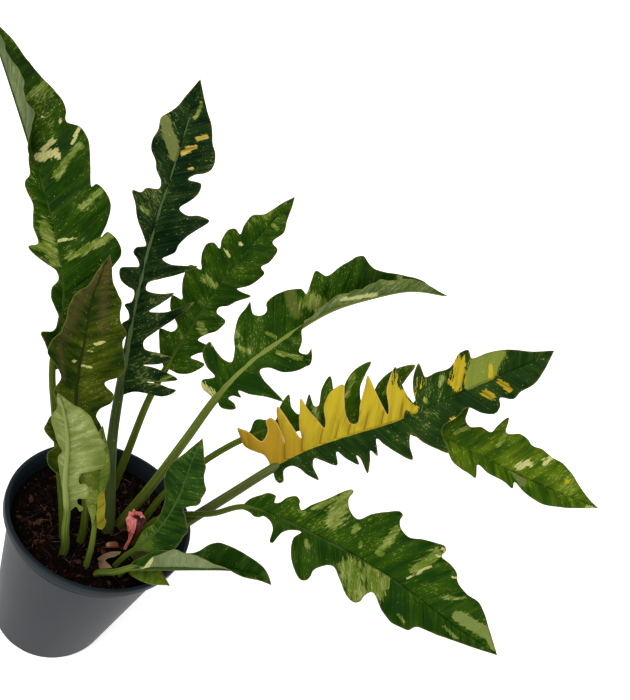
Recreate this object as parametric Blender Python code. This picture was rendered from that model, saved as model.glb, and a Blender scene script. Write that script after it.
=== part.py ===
"""A ring of fire philodendron in its round nursery pot.

The pot stands on z = 0 with its axis on Z, and the camera side is -Y.
Twelve leaves and one small low leaf rise from a short creeping stem in the soil.
Each leaf is one solid: a stalk that runs on as the midrib, and a blade with its cut edge.
Leaf tables are in millimetres, and everything else is in metres.
"""

import math
import random

import bmesh
import bpy
import numpy as np
from mathutils import Matrix, Vector, geometry

MM = 0.001

# Pot, in metres
RIM_RADIUS = 0.105
POT_HEIGHT = 0.185
BASE_RADIUS = 0.0687
NECK_RADIUS = 0.0955
NECK_HEIGHT = 0.163
BAND_RADIUS = 0.0990
LIP_HEIGHT = 0.0085
LIP_WIDTH = 0.0045
WALL = 0.0024
FLOOR_TOP = 0.0056
FOOT_WIDTH = 0.0065
FOOT_HEIGHT = 0.0030
CENTRE_PAD_RADIUS = 0.014
POT_SIDES = 32
DRAIN_COUNT = 8
DRAIN_SIDES = 10
DRAIN_RADIUS = 0.0045
DRAIN_CIRCLE = 0.048
NOTCH_COUNT = 8
NOTCH_WIDTH = 0.010
NOTCH_HEIGHT = 0.0020

# Soil, in metres
SOIL_TOP = 0.165
SOIL_RINGS = 4
SOIL_BUMP = 0.0014
GAP = 0.0004

# Leaves, in millimetres
ROOT_DEPTH = 150.0
BLADE_THICKNESS = 0.9
GRID = 18.0
EDGE_STEP = 12.0
STALK_STEP = 15.0
STALK_SIDES = 6
HOLE_GAP = 0.45
HOLE_ABOVE_SOIL = 25.0
RIB_TIP = 0.9
RIB_END = 0.93
RIB_TAPER = 1.2
RIB_DROP = 0.55
RIB_DROP_LENGTH = 12.0
SMOOTHING_PASSES = 25
WAVE_FULL_WIDTH = 25.0
WAVE_MOST = 1.3
SHARP_ANGLE = 40.0

# Sheaths, in millimetres
SHEATH_FOOT = 6.0
SHEATH_ROWS = 7
SHEATH_COLUMNS = 9
SHEATH_STRAIGHT = 0.35
SHEATH_THICKNESS = 1.0


def clear_scene():
    for thing in list(bpy.data.objects):
        bpy.data.objects.remove(thing, do_unlink=True)


def make_material(name, color, roughness):
    material = bpy.data.materials.new(name)
    material.use_nodes = True
    shader = material.node_tree.nodes["Principled BSDF"]
    shader.inputs["Base Color"].default_value = (*color, 1.0)
    shader.inputs["Roughness"].default_value = roughness
    shader.inputs["Metallic"].default_value = 0.0
    return material


def make_object(name, points, faces, material=None, smooth=True):
    mesh = bpy.data.meshes.new(name)
    mesh.from_pydata([tuple(map(float, point)) for point in points], [], faces)
    mesh.validate()
    thing = bpy.data.objects.new(name, mesh)
    bpy.context.scene.collection.objects.link(thing)
    if material:
        mesh.materials.append(material)
    if smooth:
        mesh.shade_smooth()
        mesh.set_sharp_from_angle(angle=math.radians(SHARP_ANGLE))
    return thing


def apply_boolean(thing, other, operation, solver="EXACT"):
    """Cuts or joins the other solid, then removes it."""
    modifier = thing.modifiers.new("boolean", "BOOLEAN")
    modifier.object = other
    modifier.operation = operation
    modifier.solver = solver
    bpy.context.view_layer.update()
    graph = bpy.context.evaluated_depsgraph_get()
    result = bpy.data.meshes.new_from_object(thing.evaluated_get(graph))
    thing.modifiers.clear()
    old = thing.data
    thing.data = result
    bpy.data.meshes.remove(old)
    bpy.data.objects.remove(other, do_unlink=True)


def triangulate(thing):
    """Splits every face into triangles and removes slivers."""
    shape = bmesh.new()
    shape.from_mesh(thing.data)
    bmesh.ops.dissolve_degenerate(shape, dist=1e-6, edges=shape.edges[:])
    bmesh.ops.triangulate(shape, faces=shape.faces[:])
    shape.to_mesh(thing.data)
    shape.free()


def revolve(name, profile, sides, material):
    """Turns a closed section round Z. The first and the last point of the profile lie on the axis."""
    points = [(0.0, 0.0, profile[0][1])]
    rings = []
    for radius, height in profile[1:-1]:
        rings.append(len(points))
        for side in range(sides):
            angle = 2 * math.pi * side / sides
            points.append((radius * math.cos(angle), radius * math.sin(angle), height))
    last = len(points)
    points.append((0.0, 0.0, profile[-1][1]))
    faces = []
    for side in range(sides):
        following = (side + 1) % sides
        faces.append((0, rings[0] + following, rings[0] + side))
        for low, high in zip(rings, rings[1:]):
            faces.append((low + side, low + following, high + following, high + side))
        faces.append((last, rings[-1] + side, rings[-1] + following))
    return make_object(name, points, faces, material)


def box(name, middle, half):
    """A plain block, given by its middle and its half sizes."""
    corners = [(x, y, z) for x in (-1, 1) for y in (-1, 1) for z in (-1, 1)]
    points = [tuple(m + h * c for m, h, c in zip(middle, half, corner)) for corner in corners]
    faces = [(0, 1, 3, 2), (4, 6, 7, 5), (0, 4, 5, 1), (2, 3, 7, 6), (0, 2, 6, 4), (1, 5, 7, 3)]
    return make_object(name, points, faces, smooth=False)


def inner_radius(height):
    """Radius of the pot's inside at a height."""
    low = BASE_RADIUS - WALL
    high = NECK_RADIUS - WALL
    return low + (high - low) * (height - FLOOR_TOP) / (NECK_HEIGHT - FLOOR_TOP)


def build_pot():
    material = make_material("pot", (0.060, 0.078, 0.092), 0.45)
    lip_bottom = POT_HEIGHT - LIP_HEIGHT
    lip_inner = RIM_RADIUS - LIP_WIDTH
    profile = [
        (0.0, 0.0),
        (CENTRE_PAD_RADIUS, 0.0),
        (CENTRE_PAD_RADIUS + 0.001, FOOT_HEIGHT),
        (BASE_RADIUS - FOOT_WIDTH - 0.001, FOOT_HEIGHT),
        (BASE_RADIUS - FOOT_WIDTH, 0.0),
        (BASE_RADIUS - 0.001, 0.0),
        (BASE_RADIUS, 0.0015),
        (NECK_RADIUS, NECK_HEIGHT),
        (BAND_RADIUS - 0.0005, NECK_HEIGHT + 0.0015),
        (BAND_RADIUS, lip_bottom),
        (RIM_RADIUS - 0.0007, lip_bottom),
        (RIM_RADIUS, lip_bottom + 0.001),
        (RIM_RADIUS, POT_HEIGHT - 0.001),
        (RIM_RADIUS - 0.0008, POT_HEIGHT),
        (lip_inner + 0.0008, POT_HEIGHT),
        (lip_inner, POT_HEIGHT - 0.001),
        (BAND_RADIUS - WALL, lip_bottom - 0.002),
        (inner_radius(NECK_HEIGHT), NECK_HEIGHT),
        (inner_radius(FLOOR_TOP), FLOOR_TOP),
        (0.0, FLOOR_TOP),
    ]
    pot = revolve("pot", profile, POT_SIDES, material)
    for hole in range(DRAIN_COUNT):
        angle = 2 * math.pi * (hole + 0.5) / DRAIN_COUNT
        place = (DRAIN_CIRCLE * math.cos(angle), DRAIN_CIRCLE * math.sin(angle))
        section = [(0.0, -0.01), (DRAIN_RADIUS, -0.01), (DRAIN_RADIUS, 0.02), (0.0, 0.02)]
        cutter = revolve("drain_cutter", section, DRAIN_SIDES, None)
        cutter.data.transform(Matrix.Translation((*place, 0.0)))
        apply_boolean(pot, cutter, "DIFFERENCE")
    for notch in range(NOTCH_COUNT):
        angle = 2 * math.pi * notch / NOTCH_COUNT
        half = (FOOT_WIDTH * 1.6, NOTCH_WIDTH / 2, NOTCH_HEIGHT)
        cutter = box("notch_cutter", (BASE_RADIUS, 0.0, 0.0), half)
        cutter.data.transform(Matrix.Rotation(angle, 4, "Z"))
        apply_boolean(pot, cutter, "DIFFERENCE")
    triangulate(pot)
    pot.data.shade_smooth()
    pot.data.set_sharp_from_angle(angle=math.radians(30))
    return pot


def build_soil():
    """The filled pot's soil, with a low uneven top. Stems stand in plain holes in it."""
    draw = random.Random(7)
    material = make_material("soil", (0.050, 0.030, 0.018), 0.95)
    bottom = FLOOR_TOP + GAP
    edge = SOIL_TOP - 0.003
    top_radius = inner_radius(edge) - GAP
    points = [(0.0, 0.0, bottom)]
    rings = []
    heights = [(inner_radius(bottom) - GAP, bottom, 0.0), (top_radius, edge, 0.0)]
    for ring in range(SOIL_RINGS, 0, -1):
        share = (ring - 0.35) / SOIL_RINGS
        heights.append((top_radius * share, SOIL_TOP, SOIL_BUMP))
    for radius, height, bump in heights:
        rings.append(len(points))
        for side in range(POT_SIDES):
            angle = 2 * math.pi * side / POT_SIDES
            level = height + bump * draw.uniform(-1, 1)
            points.append((radius * math.cos(angle), radius * math.sin(angle), level))
    last = len(points)
    points.append((0.0, 0.0, SOIL_TOP))
    faces = []
    for side in range(POT_SIDES):
        following = (side + 1) % POT_SIDES
        faces.append((0, rings[0] + following, rings[0] + side))
        for low, high in zip(rings, rings[1:]):
            faces.append((low + side, low + following, high + following))
            faces.append((low + side, high + following, high + side))
        faces.append((last, rings[-1] + side, rings[-1] + following))
    return make_object("soil", points, faces, material)


def smooth_line(points, step):
    """Points about every step along a centripetal Catmull-Rom curve through the given points."""
    given = np.array(points, float)
    given = np.vstack([2 * given[0] - given[1], given, 2 * given[-1] - given[-2]])
    pieces = []
    for index in range(1, len(given) - 2):
        before, start, end, after = given[index - 1 : index + 3]
        first = math.sqrt(np.linalg.norm(start - before))
        middle = math.sqrt(np.linalg.norm(end - start))
        last = math.sqrt(np.linalg.norm(after - end))
        leave = (start - before) / first - (end - before) / (first + middle) + (end - start) / middle
        arrive = (end - start) / middle - (after - start) / (middle + last) + (after - end) / last
        leave = leave * middle
        arrive = arrive * middle
        count = max(1, round(middle * middle / step))
        t = np.linspace(0, 1, count, endpoint=False)[:, None]
        pieces.append(
            (2 * t**3 - 3 * t**2 + 1) * start
            + (t**3 - 2 * t**2 + t) * leave
            + (3 * t**2 - 2 * t**3) * end
            + (t**3 - t**2) * arrive
        )
    pieces.append(given[-2][None])
    return np.vstack(pieces)


def table(values, keys):
    """Reads a ((key, value), ...) table at the keys, in straight steps."""
    known = np.array(values, float)
    return np.interp(keys, known[:, 0], known[:, 1])


def even_table(values, share):
    """Reads evenly spaced values at shares from 0 to 1."""
    return np.interp(share, np.linspace(0, 1, len(values)), values)


class Leaf:
    """The surface that a leaf lies on.

    The line gives (out, up) or (out, up, side) points of the stalk and the midrib, from the root on,
    where out runs along the heading. blade_at is the number of the point where the blade starts.
    A place on the blade is (s, w): s along the midrib from the blade's base, w across, left positive.
    """

    def __init__(self, name, root, heading, line, blade_at, roll, **more):
        self.name = name
        turn = math.radians(heading)
        out = np.array([math.cos(turn), math.sin(turn), 0.0])
        self.side = np.array([-math.sin(turn), math.cos(turn), 0.0])
        start = np.array([root[0], root[1], 0.0])
        route = []
        for place in line:
            aside = place[2] if len(place) > 2 else 0.0
            route.append(start + out * place[0] + np.array([0, 0, place[1]]) + self.side * aside)
        fine = smooth_line(route, 1.0)
        length = np.concatenate([[0], np.cumsum(np.linalg.norm(np.diff(fine, axis=0), axis=1))])
        nearest = np.argmin(np.linalg.norm(fine - route[blade_at], axis=1))
        self.base = length[nearest]
        self.total = length[-1]
        self.length = self.total - self.base
        self.keys = np.linspace(0, self.total, int(self.total / 2) + 1)
        centre = np.array([np.interp(self.keys, length, fine[:, axis]) for axis in range(3)]).T
        for _ in range(SMOOTHING_PASSES):
            centre[1:-1] = 0.25 * centre[:-2] + 0.5 * centre[1:-1] + 0.25 * centre[2:]
        along = np.gradient(centre, axis=0)
        along /= np.linalg.norm(along, axis=1)[:, None]
        across = self.side - (along @ self.side)[:, None] * along
        across /= np.linalg.norm(across, axis=1)[:, None]
        self.centre = centre
        self.along = along
        self.across = across
        self.up = np.cross(along, across)
        self.roll = roll
        self.fold_left = more.get("fold_left", ((0, 12),))
        self.fold_right = more.get("fold_right", ((0, 12),))
        self.wave = more.get("wave", (2.0, 47.0))

    def read(self, values, s):
        places = np.asarray(s, float) + self.base
        return np.array([np.interp(places, self.keys, values[:, axis]) for axis in range(3)]).T

    def directions(self, s):
        """Across and up at s, turned by the blade's roll."""
        share = np.clip(np.asarray(s, float) / self.length, 0, 1)
        roll = np.radians(even_table(self.roll, share))[..., None]
        across = self.read(self.across, s)
        up = self.read(self.up, s)
        return np.cos(roll) * across + np.sin(roll) * up, np.cos(roll) * up - np.sin(roll) * across

    def surface(self, s, w):
        s = np.asarray(s, float)
        w = np.asarray(w, float)
        across, up = self.directions(s)
        fold = np.where(w > 0, table(self.fold_left, s), table(self.fold_right, s))
        fold = np.radians(fold)[..., None]
        sign = np.where(w > 0, 1.0, -1.0)[..., None]
        size = np.abs(w)[..., None]
        height, wavelength = self.wave
        reach = np.minimum(np.abs(w) / WAVE_FULL_WIDTH, WAVE_MOST)
        rise = height * reach * np.sin(2 * np.pi * s / wavelength + np.sign(w))
        place = self.read(self.centre, s) + size * (np.cos(fold) * sign * across + np.sin(fold) * up)
        return place + rise[..., None] * (np.cos(fold) * up - np.sin(fold) * sign * across)


def blade_outline(leaf, left, right):
    """The blade's edge as (s, w) points, left edge out to the tip and right edge back."""
    tip = (leaf.length, 0.0)
    out = smooth_line([*left, tip], EDGE_STEP)
    back = smooth_line([*right, tip], EDGE_STEP)[::-1][1:]
    return np.vstack([[[0.0, 0.0]], out, back])


def inside_distance(places, outline):
    """How deep each place lies inside the outline. Outside, it is negative."""
    start = outline
    end = np.roll(outline, -1, axis=0)
    step = end - start
    delta = places[:, None, :] - start[None]
    share = np.clip((delta * step).sum(2) / np.maximum((step**2).sum(1), 1e-12), 0, 1)
    distance = np.linalg.norm(delta - share[..., None] * step, axis=2).min(1)
    above = (start[None, :, 1] > places[:, None, 1]) != (end[None, :, 1] > places[:, None, 1])
    rise = np.where(step[:, 1] == 0, 1e-12, step[:, 1])
    crossing = start[None, :, 0] + (places[:, None, 1] - start[None, :, 1]) / rise * step[:, 0]
    inside = (above & (places[:, None, 0] < crossing)).sum(1) % 2 == 1
    return np.where(inside, distance, -distance)


def split_blade(leaf, outline):
    """Splits the blade into triangles: (s, w) places and faces, with the midrib as an edge line."""
    ribs = np.arange(GRID, leaf.length - GRID / 2, GRID)
    rib_places = np.stack([ribs, np.zeros(len(ribs))], 1)
    rib_places = rib_places[inside_distance(rib_places, outline) > 0.5]
    reach = int(np.abs(outline[:, 1]).max() / GRID) + 2
    grid = []
    for row in range(-reach, reach + 1):
        shift = GRID / 2 if row % 2 else 0.0
        for column in range(-1, int(leaf.length / GRID) + 2):
            if row:
                grid.append((column * GRID + shift, row * GRID * 0.8))
    grid = np.array(grid)
    grid = grid[inside_distance(grid, outline) > GRID * 0.3]
    tip_index = int(np.argmax(outline[:, 0]))
    places = np.vstack([outline, rib_places, grid])
    count = len(outline)
    edges = [(index, (index + 1) % count) for index in range(count)]
    rib = [0, *range(count, count + len(rib_places)), tip_index]
    edges += list(zip(rib, rib[1:]))
    flat = [Vector(place) for place in places]
    points, _, faces, _, _, _ = geometry.delaunay_2d_cdt(flat, edges, [], 1, 1e-4)
    points = np.array([tuple(point) for point in points])
    faces = np.array([tuple(face) for face in faces])
    middles = points[faces].mean(axis=1)
    faces = faces[inside_distance(middles, outline) > 0]
    a, b, c = (points[faces[:, corner]] for corner in range(3))
    area = (b[:, 0] - a[:, 0]) * (c[:, 1] - a[:, 1]) - (b[:, 1] - a[:, 1]) * (c[:, 0] - a[:, 0])
    faces[area < 0] = faces[area < 0][:, ::-1]
    return points, faces[np.abs(area) > 1e-3]


def thicken(places, faces, thickness):
    """A closed solid from a surface: the same triangles on both faces, and walls round the edge."""
    normal = np.zeros_like(places)
    a, b, c = (places[faces[:, corner]] for corner in range(3))
    size = np.cross(b - a, c - a)
    for corner in range(3):
        np.add.at(normal, faces[:, corner], size)
    normal /= np.maximum(np.linalg.norm(normal, axis=1), 1e-9)[:, None]
    count = len(places)
    points = np.vstack([places + normal * thickness / 2, places - normal * thickness / 2])
    solid = [tuple(int(v) for v in face) for face in faces]
    solid += [tuple(int(v) + count for v in face[::-1]) for face in faces]
    used = {}
    for face in faces:
        for start, end in ((0, 1), (1, 2), (2, 0)):
            used[(int(face[start]), int(face[end]))] = True
    for start, end in used:
        if (end, start) not in used:
            solid.append((start + count, end + count, end, start))
    return points, solid


def tube(route, radii, sides, squash=1.0, across=None):
    """A closed tube along a route, with a radius at each point and flat ends."""
    route = np.asarray(route, float)
    along = np.gradient(route, axis=0)
    along /= np.linalg.norm(along, axis=1)[:, None]
    if across is None:
        guide = np.eye(3)[np.argmin(np.abs(route[-1] - route[0]))]
        across = np.cross(along, guide)
        across /= np.linalg.norm(across, axis=1)[:, None]
    other = np.cross(along, across)
    points = []
    for place, radius, x, y in zip(route, radii, across, other):
        for side in range(sides):
            angle = 2 * math.pi * side / sides
            points.append(place + radius * (math.cos(angle) * x + squash * math.sin(angle) * y))
    count = len(route)
    faces = [tuple(range(sides - 1, -1, -1))]
    for ring in range(count - 1):
        for side in range(sides):
            following = (side + 1) % sides
            low = ring * sides
            faces.append((low + side, low + following, low + sides + following, low + sides + side))
    faces.append(tuple(range((count - 1) * sides, count * sides)))
    return np.array(points), faces


def stalk_route(leaf, radii, step):
    """The stalk and the midrib: their centre line, radii and across directions.

    Along the blade the rib hangs a little under the surface, so that most of it shows below.
    """
    stalk_radius, neck_radius = radii
    end = leaf.length * RIB_END
    count = int((leaf.base + end) / step) + 1
    s = np.linspace(-leaf.base, end, count)
    share = np.clip(s / leaf.length, 0, 1)
    stem = np.clip((s + leaf.base) / leaf.base, 0, 1)
    radius = stalk_radius + (neck_radius - stalk_radius) * stem
    radius = np.where(s > 0, RIB_TIP + (neck_radius - RIB_TIP) * (1 - share) ** RIB_TAPER, radius)
    across, up = leaf.directions(s)
    drop = RIB_DROP * radius * np.clip(s / RIB_DROP_LENGTH, 0, 1)
    return leaf.read(leaf.centre, s) - up * drop[:, None], radius, across


def soil_cutter(leaf, radii):
    """The plain hole that a stalk stands in, a little wider than the stalk and open at the top."""
    route, radius, across = stalk_route(leaf, radii, STALK_STEP)
    keep = route[:, 2] < SOIL_TOP / MM + HOLE_ABOVE_SOIL
    keep[:4] = True
    route = route[keep]
    route[0] = route[0] - (route[1] - route[0]) / np.linalg.norm(route[1] - route[0]) * HOLE_GAP
    points, faces = tube(route, radius[keep] + HOLE_GAP, STALK_SIDES, across=across[keep])
    return make_object(leaf.name + "_hole", points * MM, faces, smooth=False)


def build_leaf(soil, leaf, left, right, radii, color, roughness=0.35):
    """One leaf: its blade joined with its stalk and midrib, and its hole in the soil."""
    outline = blade_outline(leaf, left, right)
    places, faces = split_blade(leaf, outline)
    surface = leaf.surface(places[:, 0], places[:, 1])
    points, solid = thicken(surface, faces, BLADE_THICKNESS)
    blade = make_object(leaf.name, points * MM, solid, make_material(leaf.name, color, roughness))
    route, radius, across = stalk_route(leaf, radii, STALK_STEP)
    points, solid = tube(route, radius, STALK_SIDES, across=across)
    stalk = make_object(leaf.name + "_stalk", points * MM, solid, smooth=False)
    apply_boolean(blade, stalk, "UNION")
    triangulate(blade)
    blade.data.shade_smooth()
    blade.data.set_sharp_from_angle(angle=math.radians(SHARP_ANGLE))
    apply_boolean(soil, soil_cutter(leaf, radii), "DIFFERENCE")
    return blade


def build_stem(soil, name, route, radii, sides, color, roughness):
    """A bare stem or stub that stands or lies in its own hole in the soil."""
    material = make_material(name, color, roughness)
    route = smooth_line(route, 6.0)
    share = np.linspace(0, 1, len(route))
    radius = even_table(radii, share)
    points, faces = tube(route, radius, sides)
    stem = make_object(name, points * MM, faces, material)
    longer = route.copy()
    for end, inner in ((0, 1), (-1, -2)):
        step = longer[end] - longer[inner]
        longer[end] = longer[end] + step / np.linalg.norm(step) * HOLE_GAP
    points, faces = tube(longer, radius + HOLE_GAP, sides)
    apply_boolean(soil, make_object(name + "_hole", points * MM, faces, smooth=False), "DIFFERENCE")
    triangulate(stem)
    return stem


def build_sheath(soil, name, root, lean, height, radii, wrap, color, roughness):
    """A papery sheath: a curled strip, open on one side, that stands in a hole in the soil."""
    lean = np.array([*lean, 0.0])
    foot = ROOT_DEPTH + SHEATH_FOOT
    places = []
    for row in range(SHEATH_ROWS):
        share = row / (SHEATH_ROWS - 1)
        radius = even_table(radii, share)
        bend = max(0.0, (share - SHEATH_STRAIGHT) / (1 - SHEATH_STRAIGHT))
        middle = np.array([*root, foot + share * height]) + lean * bend * bend
        for column in range(SHEATH_COLUMNS):
            angle = math.radians(wrap[0] + (wrap[1] - wrap[0]) * column / (SHEATH_COLUMNS - 1))
            places.append(middle + (math.cos(angle) * radius, math.sin(angle) * radius, 0.0))
    faces = []
    for row in range(SHEATH_ROWS - 1):
        for column in range(SHEATH_COLUMNS - 1):
            corner = row * SHEATH_COLUMNS + column
            faces.append((corner, corner + 1, corner + SHEATH_COLUMNS + 1))
            faces.append((corner, corner + SHEATH_COLUMNS + 1, corner + SHEATH_COLUMNS))
    points, solid = thicken(np.array(places), np.array(faces), SHEATH_THICKNESS)
    sheath = make_object(name, points * MM, solid, make_material(name, color, roughness))
    triangulate(sheath)
    low = foot - HOLE_GAP
    route = [(*root, low), (*root, low + 12.0), (*root, low + 24.0)]
    wide = max(radii[0], radii[1]) + SHEATH_THICKNESS / 2 + HOLE_GAP
    points, faces = tube(route, [wide] * 3, 12)
    apply_boolean(soil, make_object(name + "_hole", points * MM, faces, smooth=False), "DIFFERENCE")
    return sheath


def build_husk(soil, husk, left, right, hole_at, hole_radius, color, roughness):
    """A dried flat sheath without a stalk, whose narrow end stands in a hole in the soil."""
    places, faces = split_blade(husk, blade_outline(husk, left, right))
    points, solid = thicken(husk.surface(places[:, 0], places[:, 1]), faces, SHEATH_THICKNESS)
    thing = make_object(husk.name, points * MM, solid, make_material(husk.name, color, roughness))
    triangulate(thing)
    low = points[:, 2].min() - HOLE_GAP
    route = [(*hole_at, low), (*hole_at, low + 10.0), (*hole_at, low + 20.0)]
    points, faces = tube(route, [hole_radius] * 3, 10)
    apply_boolean(soil, make_object(husk.name + "_hole", points * MM, faces, smooth=False), "DIFFERENCE")
    return thing


clear_scene()
build_pot()
soil = build_soil()

# Tall leaf at the far left, whose upper left half folds up over the midrib
leaf_01 = Leaf(
    "leaf_01",
    root=(-10, -48),
    heading=160,
    line=(
        (0, 150), (14, 179), (44, 226), (83, 281), (110, 322), (119, 355), (128, 393),
        (148, 422), (172, 448), (214, 481), (268, 519), (319, 553), (352, 574),
    ),
    blade_at=4,
    roll=(-30, -30),
    fold_left=((0, 15), (190, 15), (215, 75), (250, 105), (400, 105)),
)
build_leaf(
    soil,
    leaf_01,
    left=(
        (0, 3), (12, 3), (28, 10), (42, 17), (44, 6), (58, 3), (70, 8), (80, 12), (90, 11), (98, 4),
        (106, 5), (114, 14), (122, 22), (132, 27), (134, 18), (150, 20), (172, 14), (186, 17),
        (194, 17), (200, 12), (215, 18), (235, 28), (258, 30), (285, 27), (312, 20), (338, 11),
    ),
    right=(
        (0, -4), (14, -20), (30, -30), (45, -26), (60, -38), (78, -42), (88, -36), (104, -46),
        (118, -58), (130, -56), (138, -48), (134, -41), (146, -50), (160, -57), (174, -55),
        (183, -49), (181, -44), (198, -48), (213, -52), (228, -54), (240, -50), (247, -39),
        (256, -42), (268, -42), (280, -38), (296, -29), (316, -22), (336, -16), (352, -8),
    ),
    radii=(4.2, 3.4),
    color=(0.075, 0.150, 0.030),
)

# Bronze young leaf in front of it
leaf_02 = Leaf(
    "leaf_02",
    root=(2, -38),
    heading=160,
    line=(
        (0, 150), (7, 188), (26, 225), (47, 250), (70, 278), (92, 318), (108, 378), (117, 412),
        (119, 440), (119, 464),
    ),
    blade_at=3,
    roll=(-28, -38),
)
build_leaf(
    soil,
    leaf_02,
    left=(
        (0, 3), (-7, 12), (-8, 24), (6, 34), (16, 33), (22, 22), (30, 27), (42, 33), (52, 28),
        (60, 20), (78, 22), (92, 17), (106, 24), (118, 33), (132, 32), (142, 27), (156, 22),
        (172, 20), (186, 16), (192, 9), (210, 5), (222, 2),
    ),
    right=(
        (0, -3), (10, -20), (24, -26), (36, -24), (47, -20), (56, -24), (64, -35), (74, -37),
        (86, -27), (98, -40), (112, -44), (126, -40), (140, -36), (150, -38), (163, -30),
        (172, -28), (184, -27), (197, -19), (206, -12), (220, -6),
    ),
    radii=(4.4, 3.4),
    color=(0.150, 0.170, 0.035),
)

# Leaf in front that shows its pale underside
leaf_03 = Leaf(
    "leaf_03",
    root=(-6, -60),
    heading=235,
    line=((0, 150), (0, 170), (12, 208), (20, 239), (38, 288), (54, 343), (74, 388), (83, 402)),
    blade_at=3,
    roll=(50, 50),
)
build_leaf(
    soil,
    leaf_03,
    left=(
        (0, 3), (8, 8), (0, 12), (4, 15), (14, 10), (24, 11), (25, 18), (38, 21), (47, 17),
        (46, 13), (58, 12), (65, 14), (69, 21), (77, 31), (85, 34), (93, 33), (99, 30), (107, 31),
        (116, 29), (136, 22), (151, 14), (163, 7),
    ),
    right=(
        (0, -2), (20, -3), (40, -4), (55, -5), (70, -8), (84, -8), (92, -5), (100, -9),
        (113, -12), (130, -13), (142, -11), (152, -6), (164, -4),
    ),
    radii=(4.8, 3.2),
    color=(0.300, 0.420, 0.190),
)

# Small yellow and green leaf close to the middle
leaf_05 = Leaf(
    "leaf_05",
    root=(25, -60),
    heading=175,
    line=(
        (0, 150), (2, 162), (8, 197), (14, 218), (25, 253), (38, 293), (54, 336),
    ),
    blade_at=3,
    roll=(-22, -28, -33),
)
build_leaf(
    soil,
    leaf_05,
    left=(
        (0, 2), (18, 6), (41, 14), (55, 18), (74, 18), (92, 14), (111, 7),
    ),
    right=(
        (0, -3), (-6, -10), (0, -14), (12, -10), (30, -9), (46, -7), (65, -10), (83, -9),
        (103, -5),
    ),
    radii=(3.6, 2.6),
    color=(0.380, 0.400, 0.080),
)

# Very dark leaf with finger lobes
leaf_06 = Leaf(
    "leaf_06",
    root=(18, -8),
    heading=140,
    line=(
        (0, 150), (5, 172), (42, 209), (72, 243), (99, 289), (122, 338), (143, 378), (166, 435),
        (179, 480), (187, 522), (198, 573), (212, 623),
    ),
    blade_at=4,
    roll=(-24, -24),
)
build_leaf(
    soil,
    leaf_06,
    left=(
        (0, 3), (20, 4), (40, 6), (50, 12), (54, 5), (70, 5), (82, 11), (88, 5), (96, 7),
        (103, 12), (108, 5), (120, 5), (124, 14), (130, 22), (142, 25), (146, 14), (148, 6),
        (154, 8), (162, 15), (168, 13), (172, 4), (180, 8), (197, 20), (213, 27), (225, 33),
        (226, 25), (232, 21), (236, 8), (244, 9), (254, 17), (262, 20), (272, 28), (282, 30),
        (294, 28), (306, 27), (318, 17), (336, 9),
    ),
    right=(
        (0, -4), (6, -16), (7, -34), (7, -48), (12, -57), (19, -62), (20, -52), (22, -40),
        (22, -28), (25, -46), (31, -61), (36, -50), (38, -36), (39, -20), (43, -36), (53, -50),
        (56, -36), (58, -18), (66, -16), (78, -26), (95, -42), (110, -54), (124, -62), (112, -45),
        (104, -33), (101, -16), (112, -26), (128, -38), (124, -24), (124, -8), (132, -8),
        (140, -20), (148, -34), (158, -47), (167, -56), (163, -42), (160, -26), (163, -17),
        (168, -22), (174, -28), (184, -30), (198, -37), (208, -44), (222, -53), (224, -42),
        (219, -28), (223, -19), (234, -26), (240, -30), (248, -33), (257, -32), (256, -18),
        (262, -22), (268, -32), (274, -37), (288, -37), (300, -30), (315, -24), (328, -15),
    ),
    radii=(7.2, 5.4),
    color=(0.022, 0.060, 0.022),
)

# Green leaf behind it
leaf_07 = Leaf(
    "leaf_07",
    root=(-7, 48),
    heading=90,
    line=(
        (0, 150, 0), (6, 160, 5), (19, 218, 14), (31, 287, 23), (41, 332, 24), (54, 367, 24),
        (68, 411, 23), (79, 438, 22), (92, 468, 18), (107, 501, 14), (121, 527, 9), (136, 558, 4),
    ),
    blade_at=4,
    roll=(9, 5, 7),
)
build_leaf(
    soil,
    leaf_07,
    left=(
        (0, 4), (8, 12), (22, 22), (36, 29), (40, 16), (48, 14), (63, 32), (76, 37), (78, 26),
        (86, 31), (99, 38), (113, 40), (116, 27), (122, 32), (131, 38), (142, 40), (148, 35),
        (147, 26), (156, 30), (169, 31), (175, 26), (174, 18), (183, 21), (197, 22), (208, 13),
        (217, 10), (232, 6),
    ),
    right=(
        (0, -4), (2, -16), (12, -29), (28, -36), (28, -28), (26, -18), (34, -22), (42, -30),
        (49, -36), (49, -26), (48, -14), (59, -19), (71, -28), (84, -29), (87, -15), (93, -14),
        (101, -22), (110, -27), (128, -36), (125, -26), (124, -19), (133, -25), (145, -30),
        (157, -32), (160, -25), (169, -28), (179, -28), (189, -25), (191, -16), (208, -18),
        (221, -11), (239, -4),
    ),
    radii=(5.2, 3.8),
    color=(0.065, 0.160, 0.028),
)

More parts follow.
